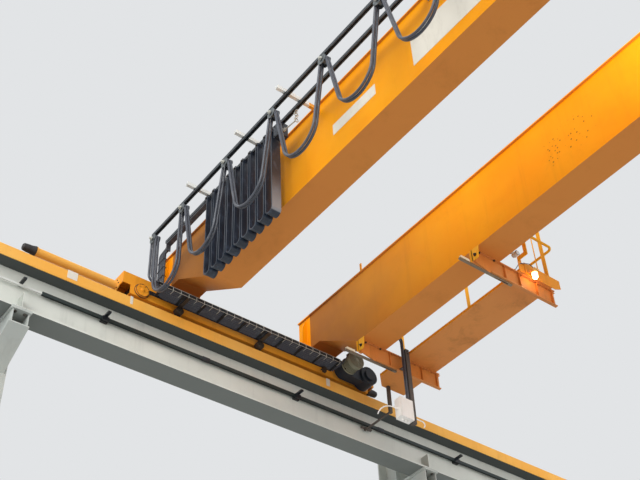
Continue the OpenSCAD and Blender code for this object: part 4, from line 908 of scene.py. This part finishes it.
lugs = Piece("member_end_plates", "bridge", "orange_paint", rail_paint)
ribs = Piece("member_ribs", "bridge", "orange_paint", shaded_member_paint)
lug_bolts = Piece("member_bolts", "bridge", "galvanised", dark_bolt)
for x in (-8620, -6550):
    lug_outline = [(x - 34, MEMBER_Y, 10004), (x + 108, MEMBER_Y, 10004), (x + 84, MEMBER_Y, 9838),
                   (x - 34, MEMBER_Y, 9838)]
    lugs.plate(lug_outline, Y_AXIS, 10, 1.5)
    lugs.tube([(x - 32, 1006, z) for z in spread(9842, 10000, 30)], 4, 6, rough=0.2)
    lug_bolts.bolt((x + 44, MEMBER_Y, 9900), -Y_AXIS, 20, stud=10)
    for y in (1110, 1350):
        lug_bolts.bolt((x + 26, y, MEMBER_FLANGE_Z), -Z_AXIS, 13, stud=6)
    for y in spread(1800, 2240, 146):
        ribs.bolt((x + 26, y, MEMBER_FLANGE_Z), -Z_AXIS, 10, stud=6)
    ribs.tube([(x + 13, y, 9783) for y in spread(1280, 2340, 50)], 4, 6, rough=0.2)
    for y in (1500, 1744, 2040, 2300):
        ribs.plate([(x + 12, y, 9783), (x + 38, y, 9783), (x + 38, y, 9997), (x + 12, y, 9997)], Y_AXIS, 6, 1)
for x in (-9145, -7835, -6525):
    for z in (10080, 10130):
        lug_bolts.bolt((x, 2306, z), Y_AXIS, 11)
lugs.place()
ribs.place()
lug_bolts.place()


# Beacon, lamp and junction box

small = Piece("lamp_and_beacon_fixings", "bridge", "galvanised", dark_bolt)
small.turned((*BEACON_PLACE, 10060), Z_AXIS, [(-1, 30), (6, 30), (9, 24), (9, 10), (22, 9)], 20)
small.bolt((-6470, 1900, 10060), Z_AXIS, 7)
small.bolt((-6470, 1948, 10060), Z_AXIS, 7)
small.hoop((*BEACON_PLACE, 10022), Z_AXIS, 40, 4, 32)
small.hoop(LAMP_PLACE, X_AXIS, 32, 3, 28)
small.bolt((-6400, 1424, 10140), Z_AXIS, 8)
small.place()

glass = Piece("lamp_glass", "bridge", "lamp_white", lamp_glass)
glass.turned(LAMP_PLACE, X_AXIS, [(-0.5, 30), (2, 29), (7, 22), (9.5, 12), (10, 3)], 24)
glass.place()

wires = Piece("small_wires", "bridge", "cable_black", cable_black)
wires.tube([(*BEACON_PLACE, 10078), (-6426, 1920, 10110), (-6440, 1880, 10150), (-6480, 1800, 10150),
            (-6500, 1752, 10120), (-6515, 1700, 10030), (-6520, 1640, 9999)], 5, 8)
wires.tube([(-6430, 1590, 10158), (-6470, 1560, 10175), (-6500, 1480, 10165), (-6500, 1424, 10150)], 5, 8)
wires.place()

box_parts = Piece("junction_box_parts", "bridge", "box_plastic", box_white)
box_parts.block((BOX_X, 1434, BOX_Z), (100, 8, 268), 3)
for dx in (-40, 40):
    for dz in (-122, 122):
        box_parts.turned((BOX_X + dx, 1430, BOX_Z + dz), -Y_AXIS, [(-1, 7), (3, 7), (4, 5)], 12)
for y in (1490, 1540, 1590):
    box_parts.turned((BOX_X, y, 8930), -Z_AXIS, [(-1, 14), (10, 14), (12, 11), (26, 10)], 12)
box_parts.turned((BOX_X, 1379, 9050), Y_AXIS, [(0, 11), (34, 12), (36, 16), (60, 16)], 14)
box_parts.place()

mast_bolts = Piece("mast_bolts", "bridge", "galvanised", dark_bolt)
for size, heights in ((10, (9960, 10000)), (8, (8960, 9180))):
    for z in heights:
        mast_bolts.bolt((MAST_X, MAST_Y, z), X_AXIS, size)
mast_bolts.place()


# Hoist crab: rope on the drum, cap bolts, bearing bolts, hook latch

rope = Piece("drum_rope", "bridge", "rope_steel", rope_steel)
turns = 18
steps = 24
for start, end, way in ((-440, -80, 1), (440, 80, -1)):
    coil = []
    for k in range(turns * steps + 1):
        angle = math.tau * k / steps
        x = CRAB_X + start + (end - start) * k / (turns * steps)
        coil.append((x, CRAB_Y + DRUM_R * math.cos(angle), DRUM_Z + way * DRUM_R * math.sin(angle)))
    rope.tube(coil, 7.5, 6)
rope.place()

crab_bolts = Piece("crab_bolts", "bridge", "galvanised", dark_bolt)
for x in (CRAB_X - 750, CRAB_X + 750):
    for y in GIRDERS_Y:
        for e in ENDS:
            face = Vector((x, y + e * 80, CRAB_AXLE_Z))
            crab_bolts.turned(face, e * Y_AXIS, [(-1, 62), (8, 62), (11, 56), (11, 30)], 28)
            for way in spokes(4, 45, X_AXIS):
                crab_bolts.bolt(face + way * 46 + e * Y_AXIS * 11, e * Y_AXIS, 9)
for x in (1010, 2190):
    for e in ENDS:
        for y in (CRAB_Y - 200, CRAB_Y + 200):
            crab_bolts.bolt((x + e * 40, y, 11415.3), Z_AXIS, 16, stud=6)
        face = Vector((x + e * 15, CRAB_Y, DRUM_Z))
        crab_bolts.turned(face, e * X_AXIS, [(-1, 84), (10, 84), (14, 76), (14, 50)], 32)
        for way in spokes(6):
            crab_bolts.bolt(face + way * 66 + e * X_AXIS * 14, e * X_AXIS, 9)
crab_bolts.place()

cowl = Piece("hoist_motor_cowl", "bridge", "motor_grey", hoist_paint)
end = Vector((CRAB_X + 1225, CRAB_Y, HOIST_MOTOR_Z))
for x in spread(2440, 2760, 26):
    cowl.hoop((x, CRAB_Y, HOIST_MOTOR_Z), X_AXIS, 150, 5, 48)
for r in (40, 64, 88, 112, 134):
    cowl.hoop(end + X_AXIS * 2, X_AXIS, r, 3.5, 40)
for way in spokes(10):
    cowl.tube([end + way * 20 + X_AXIS * 3, end + way * 146 + X_AXIS * 3], 3, 6)
cowl.turned(end, X_AXIS, [(-1, 26), (6, 26), (9, 20)], 24)
for y in (CRAB_Y - 190, CRAB_Y + 190):
    for z in (11480, 11880):
        cowl.bolt((2405, y, z), X_AXIS, 16)
cowl.place()

hook_parts = Piece("hook_block_bolts", "bridge", "galvanised", dark_bolt)
for e in ENDS:
    x = CRAB_X + e * 350
    way = e * X_AXIS
    hook_parts.turned((x, CRAB_Y, HOOK_SHEAVE_Z), way, [(-1, 52), (10, 52), (13, 46)], 28)
    hook_parts.bolt(Vector((x, CRAB_Y, HOOK_SHEAVE_Z)) + way * 13, way, 26, stud=8)
    for z in (9300, 9490, 9690):
        for y in (CRAB_Y - 80, CRAB_Y + 80):
            hook_parts.bolt((x, y, z), way, 12)
hook_parts.turned((CRAB_X, CRAB_Y, 9232), -Z_AXIS, [(-2, 78), (14, 78), (18, 70), (34, 70), (38, 60)], 32)
latch = [(CRAB_X, CRAB_Y - dy, z) for dy, z in ((60, 9060), (96, 9010), (140, 8960))]
hook_parts.tube(latch, 10, 8)
hook_parts.place()


# Floor, light and camera

floor_finish = Finish("hall_floor", roughness=0.75)
floor_tone = floor_finish.noise(0.35, 4.0).between(0.2, 0.8)
floor_finish.set("Base Color", floor_finish.mix(floor_tone, linear((214, 213, 210)), linear((222, 221, 218))))

floor_mesh = bpy.data.meshes.new("floor")
floor_mesh.from_pydata([(-70, -70, 0), (70, -70, 0), (70, 70, 0), (-70, 70, 0)], [], [(0, 1, 2, 3)])
floor_mesh.materials.append(floor_finish.material)
floor = bpy.data.objects.new("floor", floor_mesh)
bpy.context.scene.collection.objects.link(floor)

world = bpy.data.worlds.new("hall_light")
bpy.context.scene.world = world
world.use_nodes = True
sky = Shading(world.node_tree)
background = world.node_tree.nodes["Background"]
sky.feed(background.inputs["Color"], linear((236, 240, 246)))
sky.feed(background.inputs["Strength"], 0.55)
seen = sky.node("ShaderNodeBackground", {}, linear((226, 228, 230)), 1.0)
camera_ray = sky.node("ShaderNodeLightPath", {}, output="Is Camera Ray")
glossy_ray = sky.node("ShaderNodeLightPath", {}, output="Is Glossy Ray")
shows = camera_ray.math("MAXIMUM", camera_ray, glossy_ray)
choice = sky.node("ShaderNodeMixShader", {}, shows, Signal(sky, background.outputs[0]), seen)
sky.feed(world.node_tree.nodes["World Output"].inputs["Surface"], choice)


def lamp(name, kind, strength, colour):
    """A light that the camera doesn't see."""
    light = bpy.data.lights.new(name, kind)
    light.energy = strength
    light.color = colour
    placed = bpy.data.objects.new(name, light)
    placed.visible_camera = False
    bpy.context.scene.collection.objects.link(placed)
    return placed


def sun(name, towards, strength, colour, softness):
    """Even light that travels in one direction, softened by so many degrees."""
    placed = lamp(name, "SUN", strength, colour)
    placed.data.angle = math.radians(softness)
    placed.rotation_euler = Vector(towards).to_track_quat("-Z", "Y").to_euler()


sun("window_light", (-0.36, 0.7, -0.32), 2.2, (1.0, 0.985, 0.95), 40)
sun("side_light", (-0.95, 0.05, 0.1), 1.25, (1.0, 0.985, 0.95), 40)
sun("roof_light", (0.3, -0.2, -0.9), 0.45, (1.0, 1.0, 1.0), 60)

bay_lamp = lamp("bay_lamp", "POINT", 30.0, (1.0, 0.94, 0.82))
bay_lamp.data.shadow_soft_size = 0.2
bay_lamp.location = (-3.35, 0.3, 10.75)

camera_place = Vector((-0.43, -6.28, 1.66))
camera_right = Vector((0.60876, 0.79250, -0.03692))
camera_up = Vector((0.55411, -0.39142, 0.73468))
camera_ahead = Vector((-0.56778, 0.46770, 0.67741))
view_lens = bpy.data.cameras.new("photo_view")
view_lens.lens = 61.19
view_lens.sensor_width = 36.0
view_lens.clip_end = 200.0
camera = bpy.data.objects.new("photo_view", view_lens)
turned = Matrix((camera_right, camera_up, -camera_ahead)).transposed().to_4x4()
camera.matrix_world = Matrix.Translation(camera_place) @ turned
bpy.context.scene.collection.objects.link(camera)
bpy.context.scene.camera = camera
bpy.context.scene.view_settings.view_transform = "Standard"
